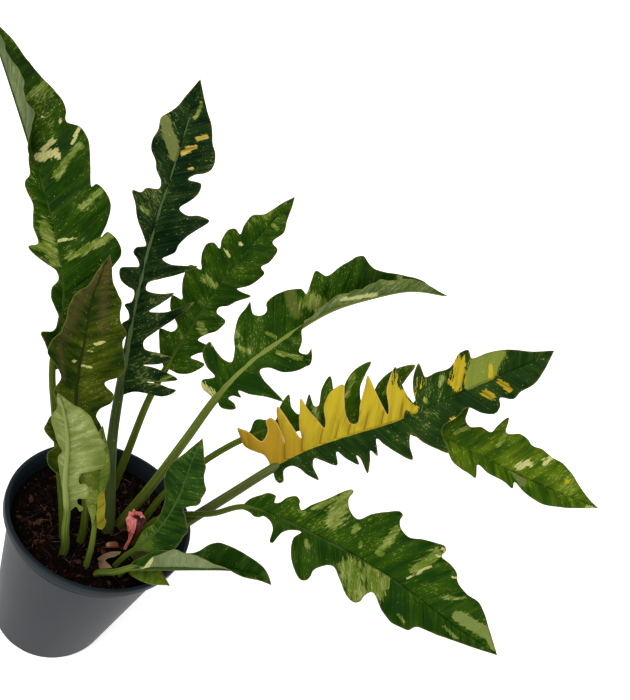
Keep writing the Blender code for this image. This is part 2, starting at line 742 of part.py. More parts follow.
# Leaf that folds over at its middle
leaf_08 = Leaf(
    "leaf_08",
    root=(22, 12),
    heading=50,
    line=(
        (0, 150), (-2, 161), (12, 229), (24, 313), (31, 368), (45, 415), (61, 441), (87, 475),
        (114, 501), (162, 525), (212, 542), (283, 545),
    ),
    blade_at=4,
    roll=(41, 42, 39),
    fold_right=((0, 12), (105, 12), (125, 110), (290, 125)),
)
build_leaf(
    soil,
    leaf_08,
    left=(
        (0, 4), (3, 19), (10, 24), (20, 16), (23, 29), (31, 42), (43, 45), (41, 33), (40, 21),
        (43, 14), (53, 21), (61, 33), (74, 45), (86, 49), (92, 52), (88, 39), (94, 34), (100, 35),
        (104, 42), (115, 43), (129, 40), (139, 35), (141, 28), (150, 38), (157, 45), (164, 36),
        (170, 36), (184, 43), (199, 47), (211, 45), (217, 34), (228, 26), (253, 19), (277, 14),
        (303, 7),
    ),
    right=(
        (0, -3), (-3, -10), (1, -18), (8, -23), (12, -19), (11, -10), (17, -12), (23, -20),
        (26, -13), (33, -25), (43, -37), (58, -53), (57, -35), (56, -21), (59, -13), (68, -16),
        (78, -29), (92, -36), (102, -38), (114, -41), (108, -29), (105, -20), (113, -18),
        (119, -11), (125, -17), (139, -21), (156, -27), (184, -29), (215, -27), (246, -21),
        (277, -13), (305, -6),
    ),
    radii=(6.2, 4.4),
    color=(0.050, 0.130, 0.030),
)

# The yellow and green leaf that the plant is named for
leaf_09 = Leaf(
    "leaf_09",
    root=(45, -20),
    heading=27,
    line=(
        (9, 150, 0), (24, 189, 0), (47, 237, 0), (75, 296, -1), (94, 347, -7), (110, 389, -16),
        (136, 425, -22), (164, 455, -25), (177, 472, -27), (203, 507, -27), (228, 541, -27),
        (254, 574, -27), (269, 598, -27),
    ),
    blade_at=4,
    roll=(42, 41, 45),
)
build_leaf(
    soil,
    leaf_09,
    left=(
        (0, 3), (1, 17), (-6, 24), (-13, 32), (-14, 41), (-9, 55), (-1, 49), (4, 40), (9, 30),
        (19, 36), (23, 46), (28, 46), (31, 38), (29, 17), (34, 42), (40, 53), (43, 44), (44, 30),
        (47, 14), (51, 27), (56, 40), (61, 51), (64, 36), (68, 24),
        (72, 15), (75, 21), (78, 34), (89, 47), (103, 51), (100, 36), (97, 21), (99, 11),
        (105, 10), (113, 27), (122, 41), (130, 52), (133, 34), (135, 18), (137, 9), (141, 18),
        (145, 32), (154, 43), (164, 50), (163, 36), (163, 21), (167, 8), (171, 23), (178, 36),
        (187, 44), (187, 34), (187, 29), (198, 29), (211, 27), (218, 30), (226, 36), (235, 36),
        (235, 27), (248, 26), (263, 23), (276, 18), (291, 9),
    ),
    right=(
        (0, -3), (-2, -11), (1, -17), (8, -18), (13, -8), (24, -8), (31, -13), (39, -24),
        (49, -32), (48, -18), (52, -11), (60, -16), (74, -25), (77, -12), (84, -21), (95, -30),
        (95, -21), (98, -25), (101, -41), (107, -31), (110, -21), (115, -28), (119, -11),
        (124, -18), (134, -30), (145, -41), (147, -27), (152, -17), (159, -30), (167, -40),
        (176, -48), (177, -34), (181, -23), (198, -20), (211, -16), (221, -26), (233, -31),
        (240, -27), (243, -20), (254, -26), (264, -22), (278, -20), (291, -13),
    ),
    radii=(6.6, 4.8),
    color=(0.480, 0.350, 0.020),
)

# Drooping leaf behind it
leaf_10 = Leaf(
    "leaf_10",
    root=(40, 12),
    heading=7,
    line=(
        (0, 150, 0), (4, 206, 0), (8, 241, 0), (28, 304, 5), (49, 344, 12), (68, 372, 14),
        (102, 405, 16), (142, 437, 17), (189, 458, 17), (232, 466, 17), (293, 469, 17),
        (350, 474, 17), (405, 483, 17),
    ),
    blade_at=4,
    roll=(49, 51, 50),
)
build_leaf(
    soil,
    leaf_10,
    left=(
        (0, 3), (15, 5), (24, 14), (37, 10), (45, 8), (53, 22), (63, 32), (64, 18), (70, 10),
        (76, 14), (84, 29), (88, 16), (92, 16), (98, 33), (107, 45), (109, 31), (110, 16),
        (116, 20), (120, 37), (129, 51), (141, 59), (137, 45), (133, 31), (135, 17), (143, 24),
        (149, 39), (160, 53), (177, 62), (172, 45), (166, 29), (168, 16), (180, 20), (188, 37),
        (201, 45), (203, 31), (208, 20), (219, 31), (231, 41), (234, 27), (241, 22), (252, 27),
        (264, 27), (267, 35), (274, 49), (278, 34), (292, 39), (304, 38), (313, 34), (322, 35),
        (332, 32), (351, 30), (365, 23), (376, 14), (389, 6),
    ),
    right=(
        (0, -3), (20, -8), (29, -14), (35, -8), (51, -10), (59, -17), (66, -9), (86, -10),
        (94, -18), (100, -9), (123, -10), (133, -18), (139, -9), (164, -10), (173, -17),
        (180, -9), (204, -10), (221, -6), (231, -12), (241, -20), (256, -23), (268, -23),
        (265, -10), (278, -12), (294, -13), (308, -16), (308, -9), (322, -14), (342, -18),
        (363, -13), (380, -8),
    ),
    radii=(4.2, 3.4),
    color=(0.120, 0.230, 0.030),
)

# Lower right leaf
leaf_11 = Leaf(
    "leaf_11",
    root=(48, 0),
    heading=-8,
    line=(
        (0, 150), (6, 211), (30, 246), (58, 274), (81, 308), (115, 324), (164, 337), (219, 348),
        (265, 351), (312, 351), (360, 355),
    ),
    blade_at=4,
    roll=(45, 45),
)
build_leaf(
    soil,
    leaf_11,
    left=(
        (0, 3), (6, 9), (15, 15), (23, 21), (29, 18), (30, 12), (35, 14), (40, 21), (47, 26),
        (53, 27), (54, 20), (58, 16), (65, 25), (77, 38), (88, 51), (98, 59), (96, 47), (102, 37),
        (112, 33), (122, 44), (133, 53), (146, 62), (146, 52), (150, 46), (160, 43), (172, 49),
        (184, 54), (194, 57), (193, 46), (203, 45), (214, 42), (219, 36), (232, 32), (247, 32),
        (258, 26), (269, 16),
    ),
    right=(
        (0, -3), (10, -6), (18, -10), (24, -5), (33, -7), (39, -13), (41, -24), (44, -29),
        (47, -20), (50, -12), (58, -6), (67, -4), (63, -12), (65, -22), (72, -34), (84, -44),
        (92, -46), (95, -38), (95, -31), (102, -23), (111, -20), (120, -26), (135, -37),
        (149, -39), (151, -28), (156, -22), (172, -30), (187, -34), (203, -31), (208, -24),
        (228, -17), (243, -12), (262, -7),
    ),
    radii=(3.8, 2.9),
    color=(0.075, 0.180, 0.025),
)

# Small upright dark leaf
leaf_12 = Leaf(
    "leaf_12",
    root=(45, -41),
    heading=40,
    line=(
        (0, 150, 0), (4, 177, 0), (14, 197, 0), (24, 217, 0), (29, 246, 0), (28, 285, 0),
        (20, 330, 0), (16, 368, 0),
    ),
    blade_at=2,
    roll=(43, 48, 56),
)
build_leaf(
    soil,
    leaf_12,
    left=(
        (0, 3), (20, 10), (39, 8), (59, 9), (84, 14), (98, 19), (112, 21), (131, 18), (148, 10),
        (163, 4),
    ),
    right=(
        (0, -3), (10, -12), (22, -22), (35, -27), (51, -26), (62, -27), (71, -18), (77, -10),
        (85, -14), (94, -22), (106, -24), (120, -25), (131, -17), (145, -15), (160, -7),
    ),
    radii=(3.6, 2.7),
    color=(0.030, 0.090, 0.022),
)

# Low leaf at the front whose near half curls up and shows its pale underside
leaf_13 = Leaf(
    "leaf_13",
    root=(34, -60),
    heading=-10,
    line=(
        (0, 150), (1, 167), (19, 186), (31, 208), (61, 239), (91, 270), (113, 292), (130, 306),
        (145, 313), (155, 312),
    ),
    blade_at=3,
    roll=(20, 40),
    fold_left=((0, 40), (80, 20)),
    fold_right=((0, 20), (22, 40), (38, 100), (95, 100), (130, 60), (165, 30)),
)
build_leaf(
    soil,
    leaf_13,
    left=(
        (0, 3), (14, 10), (30, 16), (50, 16), (70, 14), (82, 17), (94, 22), (104, 24), (116, 21),
        (128, 17), (140, 13), (153, 8),
    ),
    right=(
        (0, -3), (12, -6), (22, -9), (34, -15), (46, -20), (60, -23), (75, -25), (90, -23),
        (105, -16), (118, -10), (132, -10), (148, -7),
    ),
    radii=(4.2, 3.0),
    color=(0.330, 0.420, 0.240),
)

# Small low yellow and green leaf under it
leaf_14 = Leaf(
    "leaf_14",
    root=(56, -47),
    heading=-9,
    line=((0, 150, 0), (1, 166, 0), (5, 182, 0), (14, 195, 0), (32, 204, -2), (54, 211, -6)),
    blade_at=2,
    roll=(30, 20),
)
build_leaf(
    soil,
    leaf_14,
    left=((0, 2), (8, 8), (20, 11), (34, 10), (46, 5)),
    right=((0, -2), (8, -8), (20, -12), (34, -12), (45, -9)),
    radii=(2.6, 2.0),
    color=(0.300, 0.330, 0.050),
)

# Short creeping stem at the soil, the brown end of an old stalk, and two sheaths
build_stem(
    soil,
    "rhizome",
    route=((3, -23, 156), (8, -28, 161), (14, -33, 162), (20, -38, 157)),
    radii=(4.5, 5.4, 5.2, 5.6, 5.0, 4.5),
    sides=9,
    color=(0.110, 0.060, 0.030),
    roughness=0.8,
)
build_stem(
    soil,
    "brown_stub",
    route=((35, -12, 152), (34, -13, 161), (31, -18, 167), (25, -25, 169)),
    radii=(4.2, 4.4, 4.2, 3.8),
    sides=8,
    color=(0.300, 0.110, 0.040),
    roughness=0.6,
)
build_sheath(
    soil,
    "pink_sheath",
    root=(44, -12),
    lean=(-8.0, 8.0),
    height=52.0,
    radii=(2.4, 2.4, 2.4, 2.5, 4.4, 9.0, 8.0),
    wrap=(25, 300),
    color=(0.560, 0.150, 0.170),
    roughness=0.55,
)
tan_sheath = Leaf(
    "tan_sheath",
    root=(29, -48),
    heading=-12,
    line=((0, 155), (0, 161), (2, 168), (9, 173), (18, 176)),
    blade_at=0,
    roll=(60, 40),
)
build_husk(
    soil,
    tan_sheath,
    left=((0, 3), (8, 5), (16, 9), (25, 15), (33, 18), (28, 11), (20, 4)),
    right=((0, -3), (10, -5), (20, -5), (26, -3)),
    hole_at=(31, -50),
    hole_radius=7.0,
    color=(0.480, 0.330, 0.190),
    roughness=0.7,
)
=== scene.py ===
import math
import random

import bpy
import numpy as np
from mathutils import Matrix, Vector, geometry, noise


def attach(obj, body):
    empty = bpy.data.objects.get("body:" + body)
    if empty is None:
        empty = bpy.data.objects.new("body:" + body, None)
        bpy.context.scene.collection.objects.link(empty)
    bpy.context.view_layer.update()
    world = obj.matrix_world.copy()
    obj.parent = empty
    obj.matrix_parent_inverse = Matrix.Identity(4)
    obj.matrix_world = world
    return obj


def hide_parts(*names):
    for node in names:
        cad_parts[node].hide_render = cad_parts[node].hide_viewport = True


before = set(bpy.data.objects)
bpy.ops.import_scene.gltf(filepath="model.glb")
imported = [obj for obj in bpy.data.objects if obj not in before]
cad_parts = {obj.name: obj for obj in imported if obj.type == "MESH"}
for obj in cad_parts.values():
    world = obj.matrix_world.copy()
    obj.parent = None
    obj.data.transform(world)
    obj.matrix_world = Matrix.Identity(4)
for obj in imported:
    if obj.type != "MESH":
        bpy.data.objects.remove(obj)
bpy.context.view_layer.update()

# The pot: a round, tapered nursery pot, injection moulded in slate grey polypropylene.
# Its lip has a flat top and stands out over a stiffening band, with a small step under it.
# The foot is a low ring with notches, and the floor has eight drain holes.


class Value:
    """A shader socket that can be used in plain Python sums."""

    def __init__(self, paint, socket):
        self.paint = paint
        self.socket = socket

    def math(self, operation, *others):
        node = self.paint.nodes.new("ShaderNodeMath")
        node.operation = operation
        for place, value in enumerate((self, *others)):
            self.paint.feed(node.inputs[place], value)
        return Value(self.paint, node.outputs[0])

    def __add__(self, other):
        return self.math("ADD", other)

    def __mul__(self, other):
        return self.math("MULTIPLY", other)

    def __sub__(self, other):
        return self.math("SUBTRACT", other)

    def __abs__(self):
        return self.math("ABSOLUTE")

    def step(self, low, high):
        """0 at low and 1 at high, smooth in between. low may be above high."""
        node = self.paint.nodes.new("ShaderNodeMapRange")
        node.interpolation_type = "SMOOTHSTEP"
        for name, value in (("Value", self), ("From Min", low), ("From Max", high)):
            self.paint.feed(node.inputs[name], value)
        return Value(self.paint, node.outputs[0])


class Paint:
    """A material round one Principled shader, with its nodes made from Python expressions."""

    def __init__(self, name, **constants):
        self.material = bpy.data.materials.new(name)
        self.material.use_nodes = True
        self.nodes = self.material.node_tree.nodes
        self.shader = self.nodes["Principled BSDF"]
        self.put(**constants)

    def feed(self, socket, value):
        if isinstance(value, Value):
            self.material.node_tree.links.new(value.socket, socket)
        elif isinstance(value, tuple) and socket.type == "RGBA":
            socket.default_value = (*value, 1.0)
        else:
            socket.default_value = value

    def node(self, kind, output=0, **sockets):
        """The output of a new node. A socket name's underlines stand for spaces."""
        node = self.nodes.new(kind)
        for name, value in sockets.items():
            self.feed(node.inputs[name.replace("_", " ")], value)
        return Value(self, node.outputs[output])

    def put(self, **values):
        """Sets the shader's inputs. A name's underlines stand for spaces."""
        for name, value in values.items():
            self.feed(self.shader.inputs[name.replace("_", " ")], value)

    def vector(self, x, y, z):
        return self.node("ShaderNodeCombineXYZ", X=x, Y=y, Z=z)

    def parts(self, attribute=None):
        """The three numbers of an attribute, or of the object coordinates if none is named."""
        if attribute:
            vector = self.node("ShaderNodeAttribute", "Vector")
            vector.socket.node.attribute_name = attribute
        else:
            vector = self.node("ShaderNodeTexCoord", "Object")
        split = self.node("ShaderNodeSeparateXYZ", Vector=vector).socket.node
        return [Value(self, split.outputs[axis]) for axis in range(3)]

    def noise(self, vector, scale=1.0, detail=2.0, roughness=0.5):
        return self.node("ShaderNodeTexNoise", Vector=vector, Scale=scale, Detail=detail, Roughness=roughness)

    def mix(self, factor, first, second):
        node = self.nodes.new("ShaderNodeMix")
        node.data_type = "RGBA"
        for place, value in ((0, factor), (6, first), (7, second)):
            self.feed(node.inputs[place], value)
        return Value(self, node.outputs[2])

    def bump(self, height, distance):
        self.put(Normal=self.node("ShaderNodeBump", Height=height, Distance=distance))


def finish_mesh(name, points, faces, materials, face_slots=None, attributes=None, smooth=True):
    """A plain mesh object at the origin, with its materials and its own attributes."""
    mesh = bpy.data.meshes.new(name)
    mesh.from_pydata(np.asarray(points, float).tolist(), [], faces)
    thing = bpy.data.objects.new(name, mesh)
    bpy.context.scene.collection.objects.link(thing)
    for material in materials:
        mesh.materials.append(material)
    if face_slots is not None:
        mesh.polygons.foreach_set("material_index", np.asarray(face_slots, np.int32))
    for label, values in (attributes or {}).items():
        layer = mesh.attributes.new(label, "FLOAT_VECTOR", "POINT")
        layer.data.foreach_set("vector", np.asarray(values, np.float32).ravel())
    if smooth:
        mesh.shade_smooth()
    return thing


def place(piece, nodes, slot):
    """Hides the parts that a finished piece stands for and lets it ride on the one body."""
    if nodes:
        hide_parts(*nodes)
    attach(piece, "root")


def evaluated_mesh(thing):
    """The object's mesh as its modifiers leave it."""
    graph = bpy.context.evaluated_depsgraph_get()
    return bpy.data.meshes.new_from_object(thing.evaluated_get(graph))


def revolve(profile, sides):
    """Points and faces of a section turned round Z. Its first and last point lie on the axis."""
    points = [(0.0, 0.0, profile[0][1])]
    rings = []
    for radius, height in profile[1:-1]:
        rings.append(len(points))
        for side in range(sides):
            angle = 2 * math.pi * side / sides
            points.append((radius * math.cos(angle), radius * math.sin(angle), height))
    last = len(points)
    points.append((0.0, 0.0, profile[-1][1]))
    faces = []
    for side in range(sides):
        following = (side + 1) % sides
        faces.append((0, rings[0] + following, rings[0] + side))
        for low, high in zip(rings, rings[1:]):
            faces.append((low + side, low + following, high + following, high + side))
        faces.append((last, rings[-1] + side, rings[-1] + following))
    return points, faces


def rounded(profile, radius, steps=4):
    """The section with each inner corner replaced by a small curve."""
    result = [profile[0]]
    for before, corner, after in zip(profile, profile[1:], profile[2:]):
        before, corner, after = (np.array(point) for point in (before, corner, after))
        back = before - corner
        ahead = after - corner
        cut = min(radius, 0.4 * np.linalg.norm(back), 0.4 * np.linalg.norm(ahead))
        start = corner + back / np.linalg.norm(back) * cut
        end = corner + ahead / np.linalg.norm(ahead) * cut
        for t in np.linspace(0, 1, steps):
            result.append(tuple((1 - t) ** 2 * start + 2 * t * (1 - t) * corner + t * t * end))
    return [*result, profile[-1]]


# Metres. The wall tapers from the neck, under the lip, down to the base.
RIM_RADIUS = 0.1050
NECK_RADIUS = 0.0955
NECK_HEIGHT = 0.163
BASE_RADIUS = 0.0687
BASE_HEIGHT = 0.0015
INNER_NECK_RADIUS = 0.0931
INNER_BASE_RADIUS = 0.0663
FLOOR_TOP = 0.0056
FOOT_HEIGHT = 0.003
CORNER_RADIUS = 0.0011
POT_SIDES = 160
WALL_RINGS = (0.02, 0.25, 0.5, 0.75, 0.98)
DRAIN_COUNT = 8
DRAIN_CIRCLE = 0.048
DRAIN_RADIUS = 0.0045
NOTCH_SIZE = (0.0208, 0.010, 0.004)
SHARP_ANGLE = math.radians(50)
LIP_BOTTOM = 0.1775
LIP_TOP = 0.1850
LIP_EDGE = 0.0010
INNER_SLOPE = 0.17

# extra rings up the wall keep the shading of the long taper even
widening = NECK_RADIUS - BASE_RADIUS
rise = NECK_HEIGHT - BASE_HEIGHT
wall = [(BASE_RADIUS + widening * share, BASE_HEIGHT + rise * share) for share in WALL_RINGS]
foot = [(0.0, 0.0), (0.014, 0.0), (0.015, FOOT_HEIGHT), (0.0612, FOOT_HEIGHT), (0.0622, 0.0), (0.0677, 0.0)]
band = [(0.0985, 0.1645), (0.0990, LIP_BOTTOM - LIP_EDGE), (0.1043, LIP_BOTTOM - LIP_EDGE)]
lip = [(RIM_RADIUS, LIP_BOTTOM), (RIM_RADIUS, LIP_TOP - LIP_EDGE), (0.1042, LIP_TOP)]
lip += [(0.1013, LIP_TOP), (0.1005, LIP_TOP - LIP_EDGE)]
inner_neck = [(0.0966, 0.1745), (INNER_NECK_RADIUS, NECK_HEIGHT)]
floor_edge = [(INNER_BASE_RADIUS, FLOOR_TOP), (0.0, FLOOR_TOP)]
outer_wall = [(BASE_RADIUS, BASE_HEIGHT), *wall, (NECK_RADIUS, NECK_HEIGHT)]
section = [*foot, *outer_wall, *band, *lip, *inner_neck, *floor_edge]

plastic = Paint("pot_plastic", Specular_IOR_Level=0.10)
x, y, z = plastic.parts()
grain = plastic.noise(plastic.vector(x, y, z), 900.0, 2.0)
smears = plastic.noise(plastic.vector(x, y, z * 0.35), 22.0, 4.0, 0.6)
dust = plastic.noise(plastic.vector(x, y, z), 260.0, 3.0, 0.7).step(0.60, 0.78) * smears.step(0.45, 0.7)
tone = plastic.mix(smears.step(0.25, 0.75), (0.016, 0.019, 0.022), (0.028, 0.032, 0.036))
tone = plastic.mix(dust * 0.35, tone, (0.11, 0.09, 0.07))
# painted shade: darker inside the neck, on the band over the wall and on the lip
from_axis = (x * x + y * y).math("SQRT")
in_neck = z.step(NECK_HEIGHT - 0.003, NECK_HEIGHT + 0.001)
inside = (from_axis - z * INNER_SLOPE).step(0.0735, 0.0705) * in_neck
tone = plastic.mix(inside, tone, (0.004, 0.006, 0.008))
band_shade = z.step(NECK_HEIGHT - 0.0005, NECK_HEIGHT + 0.001)
tone = plastic.mix(band_shade * 0.35, tone, (0.008, 0.013, 0.017))
lip_shade = z.step(LIP_BOTTOM - 0.002, LIP_BOTTOM)
tone = plastic.mix(lip_shade * 0.75, tone, (0.007, 0.013, 0.017))
plastic.put(Base_Color=tone, Roughness=smears * 0.22 + 0.34)
plastic.bump(grain * 0.5 + smears, 0.00025)

pot = finish_mesh("pot_body", *revolve(rounded(section, CORNER_RADIUS), POT_SIDES), [plastic.material])


def cut_pot(shape, at):
    """Cuts a shape, moved by the matrix, out of the pot."""
    cutter = finish_mesh("cutter", *shape, [], smooth=False)
    cutter.data.transform(at)
    modifier = pot.modifiers.new("cut", "BOOLEAN")
    modifier.object = cutter
    modifier.operation = "DIFFERENCE"
    bpy.context.view_layer.update()
    cut = evaluated_mesh(pot)
    pot.modifiers.clear()
    pot.data = cut
    bpy.data.objects.remove(cutter, do_unlink=True)


drain = revolve([(0.0, -0.01), (DRAIN_RADIUS, -0.01), (DRAIN_RADIUS, 0.02), (0.0, 0.02)], sides=20)
bpy.ops.mesh.primitive_cube_add(size=1.0)
block = bpy.context.object
corners = [tuple(vertex.co) for vertex in block.data.vertices]
notch = (corners, [tuple(face.vertices) for face in block.data.polygons])
bpy.data.objects.remove(block, do_unlink=True)
for number in range(DRAIN_COUNT):
    turn = Matrix.Rotation(2 * math.pi * (number + 0.5) / DRAIN_COUNT, 4, "Z")
    cut_pot(drain, turn @ Matrix.Translation((DRAIN_CIRCLE, 0.0, 0.0)))
    turn = Matrix.Rotation(2 * math.pi * number / DRAIN_COUNT, 4, "Z")
    cut_pot(notch, turn @ Matrix.Translation((BASE_RADIUS, 0.0, 0.0)) @ Matrix.Diagonal((*NOTCH_SIZE, 1.0)))
pot.data.shade_smooth()
pot.data.set_sharp_from_angle(angle=SHARP_ANGLE)
place(pot, ["pot"], "pot")

# The leaves: each grows from the creeping stem on a fleshy stalk that runs on as the midrib.
# A blade is a leathery sheet, saw-cut into lobes, puffed up between its side veins and marbled
# in green, lime, cream and gold. Leaf sizes are in millimetres, rolls and folds in degrees.

MM = 0.001
LINE_STEP = 1.0
SMOOTHING_PASSES = 25


def smooth_line(points, step):
    """Points about every step along a centripetal Catmull-Rom curve through the given points."""
    given = np.array(points, float)
    given = np.vstack([2 * given[0] - given[1], given, 2 * given[-1] - given[-2]])
    pieces = []
    for index in range(1, len(given) - 2):
        before, start, end, after = given[index - 1 : index + 3]
        first = math.sqrt(np.linalg.norm(start - before))
        middle = math.sqrt(np.linalg.norm(end - start))
        last = math.sqrt(np.linalg.norm(after - end))
        leave = (start - before) / first - (end - before) / (first + middle) + (end - start) / middle
        arrive = (end - start) / middle - (after - start) / (middle + last) + (after - end) / last
        leave = leave * middle
        arrive = arrive * middle
        count = max(1, round(middle * middle / step))
        t = np.linspace(0, 1, count, endpoint=False)[:, None]
        pieces.append(
            (2 * t**3 - 3 * t**2 + 1) * start
            + (t**3 - 2 * t**2 + t) * leave
            + (3 * t**2 - 2 * t**3) * end
            + (t**3 - t**2) * arrive
        )
    pieces.append(given[-2][None])
    return np.vstack(pieces)


def unit(vectors):
    """The vectors, one a row, each at length 1."""
    return vectors / np.linalg.norm(vectors, axis=1)[:, None]


def table(values, keys):
    """Reads a ((key, value), ...) table at the keys, in straight steps."""
    known = np.array(values, float)
    return np.interp(keys, known[:, 0], known[:, 1])


def even_table(values, share):
    """Reads evenly spaced values at shares from 0 to 1."""
    return np.interp(share, np.linspace(0, 1, len(values)), values)


def wobble(points, scale, seed):
    """Smooth noise from -1 to 1 at each point."""
    offset = Vector((seed * 7.3, seed * 3.1, seed * 1.7))
    return np.array([noise.noise(Vector(point) * scale + offset) for point in points])


# every blade waves a little along its length, and its halves are lifted where no fold is given
WAVE_HEIGHT = 2.0
WAVE_LENGTH = 47.0
WAVE_FULL_WIDTH = 25.0
WAVE_MOST = 1.3
LIFTED = ((0, 12),)


class Leaf:
    """The surface that a leaf lies on.

    The line gives (out, up) or (out, up, side) points of the stalk and the midrib, from the root on,
    where out runs along the heading. blade_at is the number of the point where the blade starts.
    A place on the blade is (s, w): s along the midrib from the blade's base, w across, left positive.
    The rolls turn the blade about the midrib, evenly spaced from its base to its tip. A fold gives
    (s, lift) pairs for one half.
    """

    def __init__(self, root, heading, line, blade_at, roll, fold_left=LIFTED, fold_right=LIFTED):
        turn = math.radians(heading)
        out = np.array([math.cos(turn), math.sin(turn), 0.0])
        side = np.array([-math.sin(turn), math.cos(turn), 0.0])
        start = np.array([root[0], root[1], 0.0])
        route = []
        for spot in line:
            aside = spot[2] if len(spot) > 2 else 0.0
            route.append(start + out * spot[0] + np.array([0, 0, spot[1]]) + side * aside)
        fine = smooth_line(route, LINE_STEP)
        length = np.concatenate([[0], np.cumsum(np.linalg.norm(np.diff(fine, axis=0), axis=1))])
        nearest = np.argmin(np.linalg.norm(fine - route[blade_at], axis=1))
        self.base = length[nearest]
        self.length = length[-1] - self.base
        self.keys = np.linspace(0, length[-1], int(length[-1] / 2) + 1)
        centre = np.array([np.interp(self.keys, length, fine[:, axis]) for axis in range(3)]).T
        for _ in range(SMOOTHING_PASSES):
            centre[1:-1] = 0.25 * centre[:-2] + 0.5 * centre[1:-1] + 0.25 * centre[2:]
        along = unit(np.gradient(centre, axis=0))
        self.centre = centre
        self.across = unit(side - (along @ side)[:, None] * along)
        self.up = np.cross(along, self.across)
        self.roll = roll
        self.fold_left = fold_left
        self.fold_right = fold_right

    def read(self, values, s):
        places = np.asarray(s, float) + self.base
        return np.array([np.interp(places, self.keys, values[:, axis]) for axis in range(3)]).T

    def directions(self, s):
        """Across and up at s, turned by the blade's roll."""
        share = np.clip(np.asarray(s, float) / self.length, 0, 1)
        roll = np.radians(even_table(self.roll, share))[..., None]
        across = self.read(self.across, s)
        up = self.read(self.up, s)
        return np.cos(roll) * across + np.sin(roll) * up, np.cos(roll) * up - np.sin(roll) * across

    def surface(self, s, w, lift):
        """The place of (s, w), raised off the plain surface by lift."""
        across, up = self.directions(s)
        fold = np.where(w > 0, table(self.fold_left, s), table(self.fold_right, s))
        fold = np.radians(fold)[..., None]
        sign = np.where(w > 0, 1.0, -1.0)[..., None]
        size = np.abs(w)[..., None]
        wave = np.sin(2 * np.pi * s / WAVE_LENGTH + np.sign(w))
        wave = WAVE_HEIGHT * np.minimum(np.abs(w) / WAVE_FULL_WIDTH, WAVE_MOST) * wave
        place = self.read(self.centre, s) + size * (np.cos(fold) * sign * across + np.sin(fold) * up)
        return place + (wave + lift)[..., None] * (np.cos(fold) * up - np.sin(fold) * sign * across)


def inside_distance(places, outline):
    """How deep each place lies inside the outline. Outside, it is negative."""
    step = np.roll(outline, -1, axis=0) - outline
    size = np.maximum((step**2).sum(1), 1e-12)
    rise = np.where(step[:, 1] == 0, 1e-12, step[:, 1])
    low = outline[None, :, 1]
    high = low + step[None, :, 1]
    result = []
    for part in np.array_split(places, len(places) // 600 + 1):
        delta = part[:, None, :] - outline[None]
        share = np.clip((delta * step).sum(2) / size, 0, 1)
        distance = np.linalg.norm(delta - share[..., None] * step, axis=2).min(1)
        level = part[:, None, 1]
        crossing = outline[None, :, 0] + (level - low) / rise * step[:, 0]
        inside = (((low > level) != (high > level)) & (part[:, None, 0] < crossing)).sum(1) % 2 == 1
        result.append(np.where(inside, distance, -distance))
    return np.concatenate(result)


def edge_line(left, right, length, step):
    """The outline of a blade from its left and right sides, which meet at the tip."""
    tip = (length, 0.0)
    back = smooth_line([*right, tip], step)[::-1][1:]
    return np.vstack([[[0.0, 0.0]], smooth_line([*left, tip], step), back])


ROW_HEIGHT = 0.86


def split_blade(outline, length, grid_step):
    """(s, w) places and triangles of the blade, with the midrib as an edge line."""
    ribs = np.arange(grid_step, length - grid_step / 2, grid_step)
    rib_places = np.stack([ribs, np.zeros(len(ribs))], 1)
    rib_places = rib_places[inside_distance(rib_places, outline) > 0.5]
    reach = int(np.abs(outline[:, 1]).max() / grid_step) + 2
    grid = []
    for row in range(-reach, reach + 1):
        shift = grid_step / 2 if row % 2 else 0.0
        for column in range(-4, int(length / grid_step) + 2):
            if row:
                grid.append((column * grid_step + shift, row * grid_step * ROW_HEIGHT))
    grid = np.array(grid)
    grid = grid[inside_distance(grid, outline) > grid_step * 0.35]
    places = np.vstack([outline, rib_places, grid])
    count = len(outline)
    edges = [(index, (index + 1) % count) for index in range(count)]
    rib = [0, *range(count, count + len(rib_places)), int(np.argmax(outline[:, 0]))]
    edges += list(zip(rib, rib[1:]))
    # output kind 1 keeps only the triangles inside the edges
    flat = [Vector(spot) for spot in places]
    points, _, faces, _, _, _ = geometry.delaunay_2d_cdt(flat, edges, [], 1, 1e-4)
    points = np.array([tuple(point) for point in points])
    faces = np.array([tuple(face) for face in faces])
    faces = faces[inside_distance(points[faces].mean(axis=1), outline) > 0]
    a, b, c = (points[faces[:, corner]] for corner in range(3))
    area = (b[:, 0] - a[:, 0]) * (c[:, 1] - a[:, 1]) - (b[:, 1] - a[:, 1]) * (c[:, 0] - a[:, 0])
    faces[area < 0] = faces[area < 0][:, ::-1]
    return points, faces[np.abs(area) > 1e-4]


def sheet(places, faces, thickness):
    """Points, faces and material slots of a thin closed sheet, thickness given at each place."""
    normal = np.zeros_like(places)
    a, b, c = (places[faces[:, corner]] for corner in range(3))
    size = np.cross(b - a, c - a)
    for corner in range(3):
        np.add.at(normal, faces[:, corner], size)
    normal /= np.maximum(np.linalg.norm(normal, axis=1), 1e-9)[:, None]
    count = len(places)
    half = normal * np.asarray(thickness)[:, None] / 2
    points = np.vstack([places + half, places - half])
    solid = [tuple(face) for face in faces.tolist()]
    solid += [tuple(face) for face in (faces[:, ::-1] + count).tolist()]
    slots = [0] * len(faces) + [1] * len(faces)
    edges = np.vstack([faces[:, [0, 1]], faces[:, [1, 2]], faces[:, [2, 0]]]).tolist()
    known = set(map(tuple, edges))
    for start, end in edges:
        if (end, start) not in known:
            solid.append((start + count, end + count, end, start))
            slots.append(1)
    return points, solid, slots


GROOVE_WIDTH = 0.55


